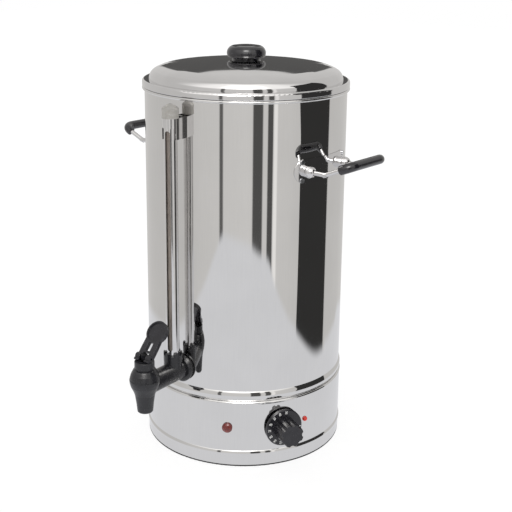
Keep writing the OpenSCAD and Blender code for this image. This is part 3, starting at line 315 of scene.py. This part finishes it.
# The lid, spun on a lathe and polished: the haze runs in rings.
SPUN_STEEL = Finish(
    "spun_polished_stainless",
    "#E6E5E5",
    "#DFDEDE",
    0.05,
    spread=0.02,
    patch_mm=40,
    grain=Grain.ROUND,
    grain_mm=0.9,
    grain_depth_mm=0.0006,
    wave_mm=70,
    wave_depth_mm=0.015,
    metallic=1.0,
)
# Mill-finish stainless inside the tank: a soft satin sheen.
SATIN_STEEL = Finish(
    "mill_finish_stainless",
    "#C9CACD",
    "#B9BBBF",
    0.3,
    spread=0.06,
    grain=Grain.ROUND,
    grain_mm=0.5,
    grain_depth_mm=0.003,
    metallic=1.0,
)
# Zinc-plated mild steel: dull silver, with cloudy yellowish and bluish patches.
ZINC_STEEL = Finish(
    "zinc_plated_steel",
    "#C4C7C6",
    "#A9AFA8",
    0.36,
    spread=0.08,
    patch_mm=5,
    grain_mm=0.3,
    grain_depth_mm=0.004,
    metallic=1.0,
)
# The heater's nickel-alloy sheath: annealed, so a dull grey-brown with darker scale.
HEATER_SHEATH = Finish(
    "annealed_heater_sheath",
    "#8B857B",
    "#5F5A54",
    0.45,
    spread=0.1,
    patch_mm=9,
    grain_mm=0.4,
    grain_depth_mm=0.01,
    metallic=1.0,
)
# Turned brass: warm, with fine tool marks.
BRASS = Finish(
    "turned_brass", "#D8B36C", "#C49A55", 0.24, spread=0.06, patch_mm=4, grain_mm=0.25, grain_depth_mm=0.004,
    metallic=1.0,
)
# Drawn copper: warm red, browned in patches.
COPPER = Finish(
    "drawn_copper", "#D08C66", "#A8674A", 0.3, spread=0.08, patch_mm=6, grain_mm=0.3, grain_depth_mm=0.003,
    metallic=1.0,
)
# Moulded silicone: brick red and soft-looking, with a powdery surface.
SILICONE = Finish(
    "moulded_silicone", "#96382A", "#7E2B20", 0.55, spread=0.06, patch_mm=5, grain_mm=0.3, grain_depth_mm=0.02,
    ior=1.41,
)
# Extruded rubber: near black and dull, with a fine bloom.
RUBBER = Finish(
    "extruded_rubber", "#222224", "#171718", 0.68, spread=0.08, patch_mm=6, grain_mm=0.5, grain_depth_mm=0.03,
    ior=1.52,
)
# Glass-filled nylon, moulded in a spark-eroded tool: black, satin, finely pitted, paler on its edges from rubbed wear
# and a painted edge highlight.
MOULDED_NYLON = Finish(
    "moulded_glass_filled_nylon",
    "#27272B",
    "#1B1B1E",
    0.27,
    spread=0.07,
    patch_mm=7,
    grain_mm=0.45,
    grain_depth_mm=0.012,
    ior=1.53,
    edge_mm=0.45,
    edge_wear_and_highlight="#3A3B3F",
)
# The lever and the dial: a smoother black moulding that hands have polished, with paler edges of rubbed wear and a
# painted edge highlight.
HANDLED_NYLON = Finish(
    "handled_black_moulding",
    "#28272C",
    "#1B1A1F",
    0.22,
    spread=0.05,
    patch_mm=9,
    grain_mm=0.6,
    grain_depth_mm=0.008,
    ior=1.53,
    edge_mm=0.4,
    edge_wear_and_highlight="#404147",
)
# Phenolic grips and lid knob: compression-moulded, so glossy and deep black.
PHENOLIC = Finish(
    "compression_moulded_phenolic",
    "#1F1E23",
    "#151418",
    0.16,
    spread=0.05,
    patch_mm=10,
    grain_mm=1.2,
    grain_depth_mm=0.008,
    ior=1.6,
    coat=0.35,
)
# Moulded white nylon: milky and waxy, with paler edges of rubbed wear and a painted edge highlight.
WHITE_NYLON = Finish(
    "moulded_white_nylon", "#E8E5DC", "#D9D5C9", 0.4, patch_mm=8, grain_mm=0.5, grain_depth_mm=0.012, ior=1.53,
    edge_mm=0.3, edge_wear_and_highlight="#F2F0EA",
)
# Bakelite: dark brown with a mottled filler, and paler edges of rubbed wear and a painted edge highlight.
BAKELITE = Finish(
    "moulded_bakelite", "#3B2720", "#241712", 0.32, spread=0.08, patch_mm=2.5, grain_mm=0.4, grain_depth_mm=0.01,
    ior=1.6, edge_mm=0.3, edge_wear_and_highlight="#54392E",
)
# Ivory thermoset of the thermostat and terminals: chalky and warm, with paler edges of rubbed wear and a painted edge
# highlight.
IVORY_THERMOSET = Finish(
    "moulded_ivory_thermoset", "#DDD3BA", "#CBBF9F", 0.48, patch_mm=5, grain_mm=0.4, grain_depth_mm=0.015,
    ior=1.55, edge_mm=0.3, edge_wear_and_highlight="#E9E2D0",
)
# The lamp's polycarbonate lens, unlit: deep brownish red, brighter where light gets into its edge.
RED_LENS = Finish(
    "moulded_red_polycarbonate", "#8A2A22", "#5E1712", 0.16, spread=0.04, patch_mm=5, grain_mm=1.4,
    grain_depth_mm=0.05, ior=1.585, transmission=0.2, coat=0.3,
)
# The dial's index: bright red, pressed in flush and glossy.
RED_INDEX = Finish(
    "moulded_red_abs", "#E23A28", "#CE2A1B", 0.22, spread=0.05, patch_mm=3, grain_mm=0.5, grain_depth_mm=0.006,
    ior=1.53, coat=0.2,
)
# Silicone-sheathed wire: dark red and dusty.
WIRE_SHEATH = Finish(
    "silicone_wire_sheath", "#82332A", "#6A251E", 0.5, spread=0.08, patch_mm=5, grain_mm=0.4,
    grain_depth_mm=0.015, ior=1.41,
)
# Turned and drawn stainless of the rivets, stem, pin and spring: bright, with fine turning marks.
TURNED_STAINLESS = Finish(
    "turned_stainless", "#D6D7DA", "#C4C6CA", 0.18, spread=0.05, patch_mm=6, grain_mm=0.3, grain_depth_mm=0.003,
    metallic=1.0,
)
# Stainless blackened in hot oxide salts: nearly black, with a metal's sheen.
BLACKENED_STEEL = Finish(
    "blackened_stainless", "#2B2B2E", "#1F1F22", 0.3, spread=0.06, patch_mm=4, grain_mm=0.3, grain_depth_mm=0.003,
    metallic=1.0,
)
# Borosilicate tube: drawn, so it has faint lines along it, and filmed with brownish scale by the hot water.
GAUGE_GLASS = Finish(
    "drawn_borosilicate_glass", "#B9AFA6", "#A0958C", 0.06, spread=0.03, patch_mm=25, grain=Grain.UPRIGHT,
    grain_mm=1.5, grain_depth_mm=0.002, ior=1.473, transmission=0.5,
)
# The gauge's cap: natural polypropylene, cloudy and greyish.
CLOUDY_CAP = Finish(
    "moulded_natural_polypropylene", "#C4C1BC", "#AFACA6", 0.22, spread=0.06, patch_mm=4, grain_mm=0.8,
    grain_depth_mm=0.02, ior=1.49, transmission=0.3, edge_mm=0.3,
)
# Nickel and chrome plate on the rod, bracket and guard tube: the sharpest mirror on the urn.
CHROME_PLATE = Finish(
    "nickel_chrome_plate", "#E6E5E5", "#DDDCDC", 0.05, spread=0.02, patch_mm=12, grain=Grain.UPRIGHT,
    grain_mm=0.7, grain_depth_mm=0.0008, metallic=1.0,
)
# Pad-printed ink: off-white, thin and slightly starved over the grain.
PRINT_INK = Finish(
    "pad_printed_ink", "#F4F4F2", "#E2E2DF", 0.5, spread=0.05, patch_mm=1.5, grain_mm=0.3, grain_depth_mm=0.01,
)
# The bead of a roller seam weld, left as welded: greyer than the sheet, with straw and blue tints.
WELD_BEAD = Finish(
    "seam_weld_bead", "#C6C2B8", "#A2A5AC", 0.28, spread=0.08, patch_mm=3, grain_mm=0.5, grain_depth_mm=0.01,
    metallic=1.0,
)
# Opal acrylic lit from below: evenly white with no sheen, so a shadow on it stays faint.
OPAL_FLOOR = Finish("lit_opal_acrylic", "#6C6C6C", "#686868", 0.9, patch_mm=60, grain_mm=1.5, grain_depth_mm=0.005)


def from_axis(azimuth: float, radius: float, height: float) -> Vector:
    """Gives a point by its azimuth from the tap towards +X, its distance from the axis and its height.

    Args:
        azimuth: In degrees.
        radius: In metres.
        height: In metres.

    Returns:
        The point in the row's frame.
    """
    turn = math.radians(azimuth)
    return Vector((radius * math.sin(turn), -radius * math.cos(turn), height))


@dataclass
class Assembly:
    """A sub-assembly: the finish of each of its solids, and the pieces that it adds to them."""

    title: str
    body: str
    finishes: dict[str, Finish] = field(default_factory=dict)

    def dress(self) -> list[str]:
        """Gives each solid its finish.

        Returns:
            The names of the solids.
        """
        for name, finish in self.finishes.items():
            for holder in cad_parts[name].material_slots:
                holder.material = finish.material()
        LOG.info("%s: dressed %d solids", self.title, len(self.finishes))
        return list(self.finishes)

    def build(self) -> None:
        """Makes the pieces that the solids leave to the scene. A plain sub-assembly has none."""

    def add(self, name: str, mesh: bpy.types.Mesh, finish: Finish, slot: str, body: str = "") -> bpy.types.Object:
        """Puts a mesh in the scene as a piece that rides on a body.

        Args:
            name: The piece's name.
            mesh: Its mesh, in the row's frame.
            finish: Its finish.
            slot: The name of a material slot; not used.
            body: The body it rides on, if it isn't the sub-assembly's own.

        Returns:
            The new object.
        """
        mesh.materials.clear()
        mesh.materials.append(finish.material())
        piece = bpy.data.objects.new(name, mesh)
        bpy.context.scene.collection.objects.link(piece)
        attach(piece, body or self.body)
        LOG.info("%s: piece %s, %d faces", self.title, name, len(mesh.polygons))
        return piece


@dataclass
class TankAndBase(Assembly):
    """The tank, its base and the roller-welded seams down their backs."""

    title: str = "tank and base"
    body: str = "urn"
    finishes: dict[str, Finish] = field(
        default_factory=lambda: {
            "tank_shell": MIRROR_STEEL,
            "tank_floor": SATIN_STEEL,
            "base_skirt": MIRROR_STEEL,
            "base_plate": ZINC_STEEL,
            "foot_ring": RUBBER,
            "base_posts": ZINC_STEEL,
            "base_screws": ZINC_STEEL,
        }
    )
    tank_radius: float = 137.5 * MM
    skirt_radius: float = 139.0 * MM
    bead_width: float = 2.4 * MM
    bead_height: float = 0.14 * MM
    bead_sink: float = 0.1 * MM
    bead_root: float = 0.3 * MM
    ripple_pitch: float = 1.3 * MM
    ripple_share: float = 0.2
    wander_share: float = 0.05
    wander_pitch: float = 3.7
    rows_per_ripple: int = 4
    end_rows: int = 5
    steps_across: int = 8
    tank_seam: tuple[float, float, float] = (180.0, 113.0 * MM, 494.0 * MM)
    skirt_seam: tuple[float, float, float] = (152.0, 28.0 * MM, 90.0 * MM)

    def build(self) -> None:
        """Makes both welds."""
        for name, radius, seam in (
            ("tank_seam_weld", self.tank_radius, self.tank_seam),
            ("base_seam_weld", self.skirt_radius, self.skirt_seam),
        ):
            self.add(name, self.weld(name, radius, *seam), WELD_BEAD, "plain_stainless")

    def weld(self, name: str, radius: float, azimuth: float, low: float, high: float) -> bpy.types.Mesh:
        """Makes a low rippled bead that runs up the wall.

        Args:
            name: The mesh's name.
            radius: The wall's radius.
            azimuth: The bead's azimuth in degrees.
            low: The height of its lower end.
            high: The height of its upper end.

        Returns:
            The bead, as a closed mesh a little sunk into the wall.
        """
        across = self.steps_across
        rows = int((high - low) / (self.ripple_pitch / self.rows_per_ripple))
        work = bmesh.new()
        grid = []
        for row in range(rows + 1):
            height = low + (high - low) * row / rows
            phase = 2 * math.pi * (height - low) / self.ripple_pitch
            end = min(1.0, min(row, rows - row) / self.end_rows)
            swell = (1 - self.ripple_share + self.ripple_share * math.sin(phase)) * self.bead_height * end
            half = self.bead_width / 2 * (1 + self.wander_share * math.sin(phase / self.wander_pitch))
            line = []
            for step in range(across + 1):
                side = 2 * step / across - 1
                out = radius - self.bead_sink * side * side + swell * math.cos(side * math.pi / 2)
                line.append(work.verts.new(from_axis(azimuth + math.degrees(side * half / radius), out, height)))
            grid.append(line)
        root = math.degrees(self.bead_width / 2 / radius)
        inner = [
            [work.verts.new(from_axis(azimuth + side * root, radius - self.bead_root, height)) for side in (-1, 1)]
            for height in (low, high)
        ]
        for row in range(rows):
            for step in range(across):
                work.faces.new((grid[row][step], grid[row][step + 1], grid[row + 1][step + 1], grid[row + 1][step]))
        work.faces.new((inner[0][0], inner[1][0], inner[1][1], inner[0][1]))
        work.faces.new([inner[0][0], inner[0][1], *reversed(grid[0])])
        work.faces.new([inner[1][1], inner[1][0], *grid[-1]])
        work.faces.new([inner[1][0], inner[0][0], *[line[0] for line in grid]])
        work.faces.new([inner[0][1], inner[1][1], *[line[-1] for line in reversed(grid)]])
        return finished(work, name, smooth=True)


def finished(work: bmesh.types.BMesh, name: str, smooth: bool) -> bpy.types.Mesh:
    """Turns a bmesh into a mesh with its faces pointing out.

    Args:
        work: The bmesh, which is freed.
        name: The mesh's name.
        smooth: Whether its faces are shaded smooth.

    Returns:
        The mesh.
    """
    bmesh.ops.recalc_face_normals(work, faces=work.faces)
    for face in work.faces:
        face.smooth = smooth and len(face.verts) == 4
    mesh = bpy.data.meshes.new(name)
    work.to_mesh(mesh)
    work.free()
    return mesh


@dataclass
class Lid(Assembly):
    """The lift-off lid and its knob."""

    title: str = "lid"
    body: str = "lid"
    finishes: dict[str, Finish] = field(
        default_factory=lambda: {
            "lid_shell": SPUN_STEEL,
            "lid_centring_ring": SATIN_STEEL,
            "lid_knob": PHENOLIC,
            "lid_knob_screw": ZINC_STEEL,
        }
    )


@dataclass
class Handles(Assembly):
    """The two folding handles, with their brackets and rivets."""

    title: str = "handles"
    body: str = "urn"
    finishes: dict[str, Finish] = field(
        default_factory=lambda: {
            "handle_brackets": CHROME_PLATE,
            "bracket_rivets": TURNED_STAINLESS,
            "handle_bail_right": CHROME_PLATE,
            "handle_bail_left": CHROME_PLATE,
            "handle_grip_right": PHENOLIC,
            "handle_grip_left": PHENOLIC,
        }
    )


@dataclass
class Tap(Assembly):
    """The gravity tap: body, bonnet, valve and lever."""

    title: str = "tap"
    body: str = "urn"
    finishes: dict[str, Finish] = field(
        default_factory=lambda: {
            "tap_body": MOULDED_NYLON,
            "tap_collar": MOULDED_NYLON,
            "tap_seals": RUBBER,
            "tap_locknut": WHITE_NYLON,
            "tap_bonnet": MOULDED_NYLON,
            "tap_stem": BLACKENED_STEEL,
            "tap_seat_cup": WHITE_NYLON,
            "tap_spring": TURNED_STAINLESS,
            "tap_lever": HANDLED_NYLON,
            "tap_lever_pin": BLACKENED_STEEL,
        }
    )


@dataclass
class SightGauge(Assembly):
    """The glass tube in its slotted guard, with nut, cap and clip."""

    title: str = "sight gauge"
    body: str = "urn"
    finishes: dict[str, Finish] = field(
        default_factory=lambda: {
            "gauge_nut": MOULDED_NYLON,
            "gauge_seals": SILICONE,
            "gauge_glass": GAUGE_GLASS,
            "gauge_guard": CHROME_PLATE,
            "gauge_cap": CLOUDY_CAP,
            "gauge_clip": CHROME_PLATE,
            "gauge_clip_fixing": ZINC_STEEL,
        }
    )


@dataclass
class ControlPanel(Assembly):
    """The dial with its printed scale, the index and the lamp."""

    title: str = "control panel"
    body: str = "urn"
    finishes: dict[str, Finish] = field(
        default_factory=lambda: {
            "dial_knob": HANDLED_NYLON,
            "dial_index": RED_INDEX,
            "lamp_lens": RED_LENS,
            "lamp_body": MOULDED_NYLON,
            "lamp_nut": ZINC_STEEL,
        }
    )
    dial_azimuth: float = 59.2
    dial_height: float = 56.2 * MM
    face_radius: float = 145.5 * MM
    ink: float = 0.12 * MM
    ink_spread: float = 0.07 * MM
    merge_distance: float = 0.005 * MM
    numeral_ring: float = 24.3 * MM
    numeral_size: float = 4.6 * MM
    temperatures: tuple[int, ...] = (30, 40, 50, 60, 70, 80, 90, 100, 110)
    first_angle: float = 84.0
    angle_step: float = 24.6
    mark_angle: float = -3.0
    mark: tuple[float, float, float] = (21.4 * MM, 24.6 * MM, 1.3 * MM)
    mark_tip: float = 0.2

    def build(self) -> None:
        """Prints the scale and the zero mark on the dial's face."""
        self.add("dial_numerals", self.numerals(), PRINT_INK, "white_nylon", "dial")
        self.add("dial_zero_mark", self.zero_mark(), PRINT_INK, "white_nylon", "dial")

    def on_face(self, angle: float, distance: float, turn: float) -> Matrix:
        """Gives the place of something on the dial's face.

        Args:
            angle: Degrees counter-clockwise from the side towards +azimuth.
            distance: Metres from the dial's centre.
            turn: The thing's own turn on the face, in degrees.

        Returns:
            The matrix that takes it there from the XY plane.
        """
        around = math.radians(self.dial_azimuth)
        out = Vector((math.sin(around), -math.cos(around), 0))
        side = Vector((math.cos(around), math.sin(around), 0))
        face = Matrix((side, Vector((0, 0, 1)), out)).transposed().to_4x4()
        centre = Matrix.Translation(out * self.face_radius + Vector((0, 0, self.dial_height)))
        ring = Matrix.Rotation(math.radians(angle), 4, "Z") @ Matrix.Translation((distance, 0, 0))
        return centre @ face @ ring @ Matrix.Rotation(math.radians(turn - angle), 4, "Z")

    def numerals(self) -> bpy.types.Mesh:
        """Makes the nine temperatures, each read from the dial's edge inwards.

        Returns:
            One mesh in the row's frame.
        """
        work = bmesh.new()
        for place, value in enumerate(self.temperatures):
            angle = self.first_angle + self.angle_step * place
            curve = bpy.data.curves.new("numeral", "FONT")
            curve.body = str(value)
            curve.size = self.numeral_size
            curve.align_x, curve.align_y = "LEFT", "CENTER"
            curve.extrude = self.ink
            curve.offset = self.ink_spread
            curve.resolution_u = 4
            letters = bpy.data.objects.new("numeral", curve)
            bpy.context.scene.collection.objects.link(letters)
            bpy.context.view_layer.update()
            shape = bpy.data.meshes.new_from_object(letters.evaluated_get(bpy.context.evaluated_depsgraph_get()))
            shape.transform(self.on_face(angle, self.numeral_ring, angle + 180))
            work.from_mesh(shape)
            bpy.data.objects.remove(letters)
            bpy.data.curves.remove(curve)
            bpy.data.meshes.remove(shape)
        bmesh.ops.remove_doubles(work, verts=work.verts, dist=self.merge_distance)
        return finished(work, "dial_numerals", smooth=False)

    def zero_mark(self) -> bpy.types.Mesh:
        """Makes the tapered mark that meets the index when the urn is off.

        Returns:
            A closed wedge in the row's frame.
        """
        near, far, width = self.mark
        tip = self.mark_tip * width
        work = bmesh.new()
        outline = ((near, -tip), (far, -width / 2), (far, width / 2), (near, tip))
        place = self.on_face(self.mark_angle, 0.0, self.mark_angle)
        rings = [[work.verts.new(place @ Vector((x, y, z))) for x, y in outline] for z in (-self.ink, self.ink)]
        work.faces.new(reversed(rings[0]))
        work.faces.new(rings[1])
        for step in range(len(outline)):
            nxt = (step + 1) % len(outline)
            work.faces.new((rings[0][step], rings[0][nxt], rings[1][nxt], rings[1][step]))
        return finished(work, "dial_zero_mark", smooth=False)


@dataclass
class HeaterBay(Assembly):
    """The heater, thermostat, wiring and cable gland."""

    title: str = "heater bay"
    body: str = "urn"
    finishes: dict[str, Finish] = field(
        default_factory=lambda: {
            "heating_element": HEATER_SHEATH,
            "element_bushes": BRASS,
            "element_seals": SILICONE,
            "element_nuts": BRASS,
            "thermostat_body": IVORY_THERMOSET,
            "thermostat_bracket": ZINC_STEEL,
            "thermostat_screws": ZINC_STEEL,
            "thermostat_shaft": ZINC_STEEL,
            "capillary_tube": COPPER,
            "sensor_bulb": COPPER,
            "bulb_clip": ZINC_STEEL,
            "thermal_cutout": BAKELITE,
            "cutout_bracket": ZINC_STEEL,
            "terminal_block": IVORY_THERMOSET,
            "wiring": WIRE_SHEATH,
            "earth_terminal": BRASS,
            "cable_gland": MOULDED_NYLON,
            "gland_locknut": MOULDED_NYLON,
            "gland_cap": MOULDED_NYLON,
            "gland_seal": RUBBER,
        }
    )


@dataclass(frozen=True)
class Panel:
    """A board or soft box round the urn, in degrees round the camera's side and above the horizon."""

    azimuth: float
    half_width: float
    low: float
    high: float
    level: float
    soft_side: float = 1.0
    soft_end: float = 1.0


@dataclass(frozen=True)
class TableSheet:
    """The white sheet under the urn, as its steel mirrors it. Its edge is given in degrees below the horizon."""

    edge: tuple[tuple[float, float], ...] = (
        (-180.0, 20.3),
        (-150.0, 20.6),
        (-114.0, 21.6),
        (-83.0, 21.9),
        (-61.0, 20.7),
        (-45.0, 19.3),
        (-32.0, 17.3),
        (-25.0, 16.5),
        (-10.0, 17.0),
        (6.0, 17.2),
        (15.0, 17.8),
        (27.0, 17.9),
        (33.0, 19.2),
        (42.0, 20.3),
        (52.0, 21.2),
        (66.0, 22.1),
        (85.0, 23.1),
        (102.0, 23.1),
        (119.0, 22.2),
        (135.0, 21.4),
        (145.0, 20.3),
        (180.0, 20.1),
    )
    deepest: float = 90.0
    soft: float = 0.8
    level: float = 0.77
    tint: tuple[float, float, float] = (0.962, 0.97, 1.0)


@dataclass
class Studio:
    """The room's light, the pale floor and the camera."""

    azimuth: float = 36.8
    distance: float = 1.406
    height: float = 0.709
    pitch: float = 15.597
    yaw: float = 0.625
    roll: float = 0.628
    lens: float = 72.97
    shift_up: float = -0.080
    sensor: float = 36.0
    clip: tuple[float, float] = (0.05, 50.0)
    floor_half: float = 6.0
    floor_glow: float = 0.86
    tint: tuple[float, float, float] = (1.0, 0.985, 0.965)
    sides: tuple[tuple[float, float], ...] = ((0.0, 0.70), (50.0, 0.66), (75.0, 0.6), (140.0, 0.62), (180.0, 0.66))
    panels: tuple[Panel, ...] = (
        Panel(0, 75, 24, 84, 1.15, 60.0, 12.0),
        Panel(-2, 26, 27, 66, 1.9, 24.0, 14.0),
        Panel(-2, 16, 34, 52, 9.0, 12.0, 10.0),
        Panel(-27, 2.0, -40, 26, 0.13, 2.0, 3.0),
        Panel(13.5, 5.5, -40, 26, 0.09, 2.0, 2.0),
        Panel(27.5, 3, -40, 26, 0.09, 1.5, 2.0),
        Panel(33.5, 2, -40, 26, 0.95, 2.0, 2.0),
        Panel(84, 22, -40, 42, 0.035, 0.8, 0.5),
        Panel(180, 9, 4.5, 19.5, 0.10, 1.5, 0.8),
        Panel(180, 5.5, -8, 19.5, 0.10, 1.0, 0.8),
    )
    sheet: TableSheet = TableSheet()

    def build(self) -> None:
        """Makes the light, the floor and the camera."""
        bpy.context.scene.view_settings.view_transform = "Standard"
        self.light()
        self.floor()
        self.camera()
        LOG.info("studio: %d panels", len(self.panels))

    def light(self) -> None:
        """Lights the urn evenly, and gives its polished steel a room of boards and soft boxes to mirror."""
        world = bpy.data.worlds.new("studio")
        bpy.context.scene.world = world
        world.use_nodes = True
        world.cycles.sampling_method = "NONE"
        tree = world.node_tree
        tree.nodes.clear()
        heading = add_node(tree, "ShaderNodeTexCoord")
        turned = add_node(
            tree,
            "ShaderNodeVectorRotate",
            {"Angle": -math.radians(self.azimuth)},
            {"Vector": heading.outputs["Generated"]},
            rotation_type="Z_AXIS",
        )
        parts = add_node(tree, "ShaderNodeSeparateXYZ", links={0: turned.outputs["Vector"]})
        front = add_node(tree, "ShaderNodeMath", {1: -1.0}, {0: parts.outputs["Y"]}, operation="MULTIPLY")
        around = add_node(
            tree, "ShaderNodeMath", links={0: parts.outputs["X"], 1: front.outputs[0]}, operation="ARCTAN2"
        )
        around = add_node(tree, "ShaderNodeMath", links={0: around.outputs[0]}, operation="DEGREES")
        above = add_node(tree, "ShaderNodeMath", links={0: parts.outputs["Z"]}, operation="ARCSINE")
        above = add_node(tree, "ShaderNodeMath", links={0: above.outputs[0]}, operation="DEGREES")
        away = add_node(tree, "ShaderNodeMath", {1: 180.0}, {0: around.outputs[0]}, operation="PINGPONG")
        share = add_node(tree, "ShaderNodeMath", {1: 180.0}, {0: away.outputs[0]}, operation="DIVIDE")
        ramp = add_node(tree, "ShaderNodeValToRGB", links={"Fac": share.outputs[0]})
        self.fill(ramp, tuple((degrees / 180, level) for degrees, level in self.sides))
        level = ramp.outputs["Color"]
        for panel in self.panels:
            shown = self.mask(tree, around, above, panel)
            mixed = add_node(tree, "ShaderNodeMix", {"B": panel.level}, {"Factor": shown, "A": level})
            level = mixed.outputs["Result"]
        tinted = add_node(tree, "ShaderNodeVectorMath", {0: self.tint}, {"Scale": level}, operation="SCALE")
        white = tuple(self.sheet.level * part for part in self.sheet.tint)
        laid = add_node(
            tree,
            "ShaderNodeMixRGB",
            {"Color2": (*white, 1.0)},
            {"Fac": self.on_sheet(tree, around, above), "Color1": tinted.outputs["Vector"]},
        )
        room = add_node(tree, "ShaderNodeBackground", links={"Color": laid.outputs["Color"]})
        even = add_node(tree, "ShaderNodeBackground", {"Color": WHITE})
        path = add_node(tree, "ShaderNodeLightPath")
        chosen = add_node(
            tree,
            "ShaderNodeMixShader",
            links={0: path.outputs["Is Glossy Ray"], 1: even.outputs[0], 2: room.outputs[0]},
        )
        add_node(tree, "ShaderNodeOutputWorld", links={"Surface": chosen.outputs[0]})

    def mask(
        self, tree: bpy.types.NodeTree, around: bpy.types.Node, above: bpy.types.Node, panel: Panel
    ) -> bpy.types.NodeSocket:
        """Gives 1 inside a panel and 0 outside it, with its soft edges.

        Args:
            tree: The world's tree.
            around: The node that gives the direction's azimuth in degrees.
            above: The node that gives its elevation in degrees.
            panel: The panel.

        Returns:
            The mask's socket.
        """
        off = add_node(tree, "ShaderNodeMath", {1: panel.azimuth}, {0: around.outputs[0]}, operation="SUBTRACT")
        gap = add_node(tree, "ShaderNodeMath", {1: 180.0}, {0: off.outputs[0]}, operation="PINGPONG")
        limits = (
            (gap, panel.half_width + panel.soft_side / 2, panel.half_width - panel.soft_side / 2),
            (above, panel.low - panel.soft_end / 2, panel.low + panel.soft_end / 2),
            (above, panel.high + panel.soft_end / 2, panel.high - panel.soft_end / 2),
        )
        return self.within(tree, limits)

    def on_sheet(self, tree: bpy.types.NodeTree, around: bpy.types.Node, above: bpy.types.Node) -> bpy.types.NodeSocket:
        """Gives 1 where a direction meets the white sheet and 0 elsewhere.

        Args:
            tree: The world's tree.
            around: The node that gives the direction's azimuth in degrees.
            above: The node that gives its elevation in degrees.

        Returns:
            The mask's socket.
        """
        sheet = self.sheet
        turn = add_node(
            tree, "ShaderNodeMapRange", {"From Min": -180.0, "From Max": 180.0}, {"Value": around.outputs[0]}
        )
        ramp = add_node(tree, "ShaderNodeValToRGB", links={"Fac": turn.outputs["Result"]})
        ramp.color_ramp.interpolation = "B_SPLINE"
        self.fill(ramp, tuple(((degrees + 180) / 360, below / sheet.deepest) for degrees, below in sheet.edge))
        edge = add_node(tree, "ShaderNodeMath", {1: sheet.deepest}, {0: ramp.outputs["Color"]}, operation="MULTIPLY")
        past = add_node(tree, "ShaderNodeMath", links={0: above.outputs[0], 1: edge.outputs[0]}, operation="ADD")
        return self.within(tree, ((past, sheet.soft / 2, -sheet.soft / 2),))

    def fill(self, ramp: bpy.types.Node, stops: tuple[tuple[float, float], ...]) -> None:
        """Sets a ramp's stops.

        Args:
            ramp: The ramp's node.
            stops: The place and the level of each stop.
        """
        elements = ramp.color_ramp.elements
        while len(elements) < len(stops):
            elements.new(0.5)
        for stop, (place, level) in zip(elements, stops):
            stop.position = place
            stop.color = (level, level, level, 1)

    def within(
        self, tree: bpy.types.NodeTree, limits: tuple[tuple[bpy.types.Node, float, float], ...]
    ) -> bpy.types.NodeSocket:
        """Gives 1 where every value is within its limit, with soft edges.

        Args:
            tree: The world's tree.
            limits: For each limit its value's node, where it fades out and where it is full.

        Returns:
            The product's socket.
        """
        shown = None
        for source, outside, inside in limits:
            edge = add_node(
                tree,
                "ShaderNodeMapRange",
                {"From Min": outside, "From Max": inside},
                {"Value": source.outputs[0]},
                interpolation_type="SMOOTHSTEP",
            ).outputs["Result"]
            if shown is None:
                shown = edge
            else:
                shown = add_node(tree, "ShaderNodeMath", links={0: shown, 1: edge}, operation="MULTIPLY").outputs[0]
        return shown

    def floor(self) -> None:
        """Lays the pale floor, which glows so that the urn's shadow stays faint."""
        work = bmesh.new()
        bmesh.ops.create_grid(work, x_segments=8, y_segments=8, size=self.floor_half)
        floor = bpy.data.objects.new("floor", finished(work, "floor", smooth=True))
        bpy.context.scene.collection.objects.link(floor)
        opal = OPAL_FLOOR.material()
        shader = opal.node_tree.nodes["Principled BSDF"]
        shader.inputs["Emission Color"].default_value = WHITE
        shader.inputs["Emission Strength"].default_value = self.floor_glow
        floor.data.materials.append(opal)
        floor.visible_glossy = False

    def camera(self) -> None:
        """Sets the camera in front of the urn, between the tap and the dial, looking down at it."""
        pitch, yaw, roll = (math.radians(a) for a in (self.pitch, self.yaw, self.roll))
        ahead = Vector((math.sin(yaw) * math.cos(pitch), math.cos(yaw) * math.cos(pitch), -math.sin(pitch)))
        right = Vector((math.cos(yaw), -math.sin(yaw), 0))
        up = right.cross(ahead)
        axis_x = math.cos(roll) * right + math.sin(roll) * up
        axis_y = math.cos(roll) * up - math.sin(roll) * right
        pose = Matrix((axis_x, axis_y, -ahead)).transposed().to_4x4()
        data = bpy.data.cameras.new("camera")
        data.lens = self.lens
        data.sensor_width = self.sensor
        data.shift_y = self.shift_up
        data.clip_start, data.clip_end = self.clip
        viewer = bpy.data.objects.new("camera", data)
        bpy.context.scene.collection.objects.link(viewer)
        stand = Matrix.Translation((0, -self.distance, self.height))
        viewer.matrix_world = Matrix.Rotation(math.radians(self.azimuth), 4, "Z") @ stand @ pose
        bpy.context.scene.camera = viewer


def main() -> None:
    """Builds the studio and every sub-assembly, and checks that no solid was left undressed."""
    logging.basicConfig(level=logging.INFO, format="%(name)s: %(message)s")
    Studio().build()
    dressed: list[str] = []
    for assembly in (TankAndBase(), Lid(), Handles(), Tap(), SightGauge(), ControlPanel(), HeaterBay()):
        dressed += assembly.dress()
        assembly.build()
    missing = set(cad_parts) - set(dressed)
    if missing:
        raise RuntimeError(f"undressed solids: {sorted(missing)}")


if __name__ == "__main__":
    main()
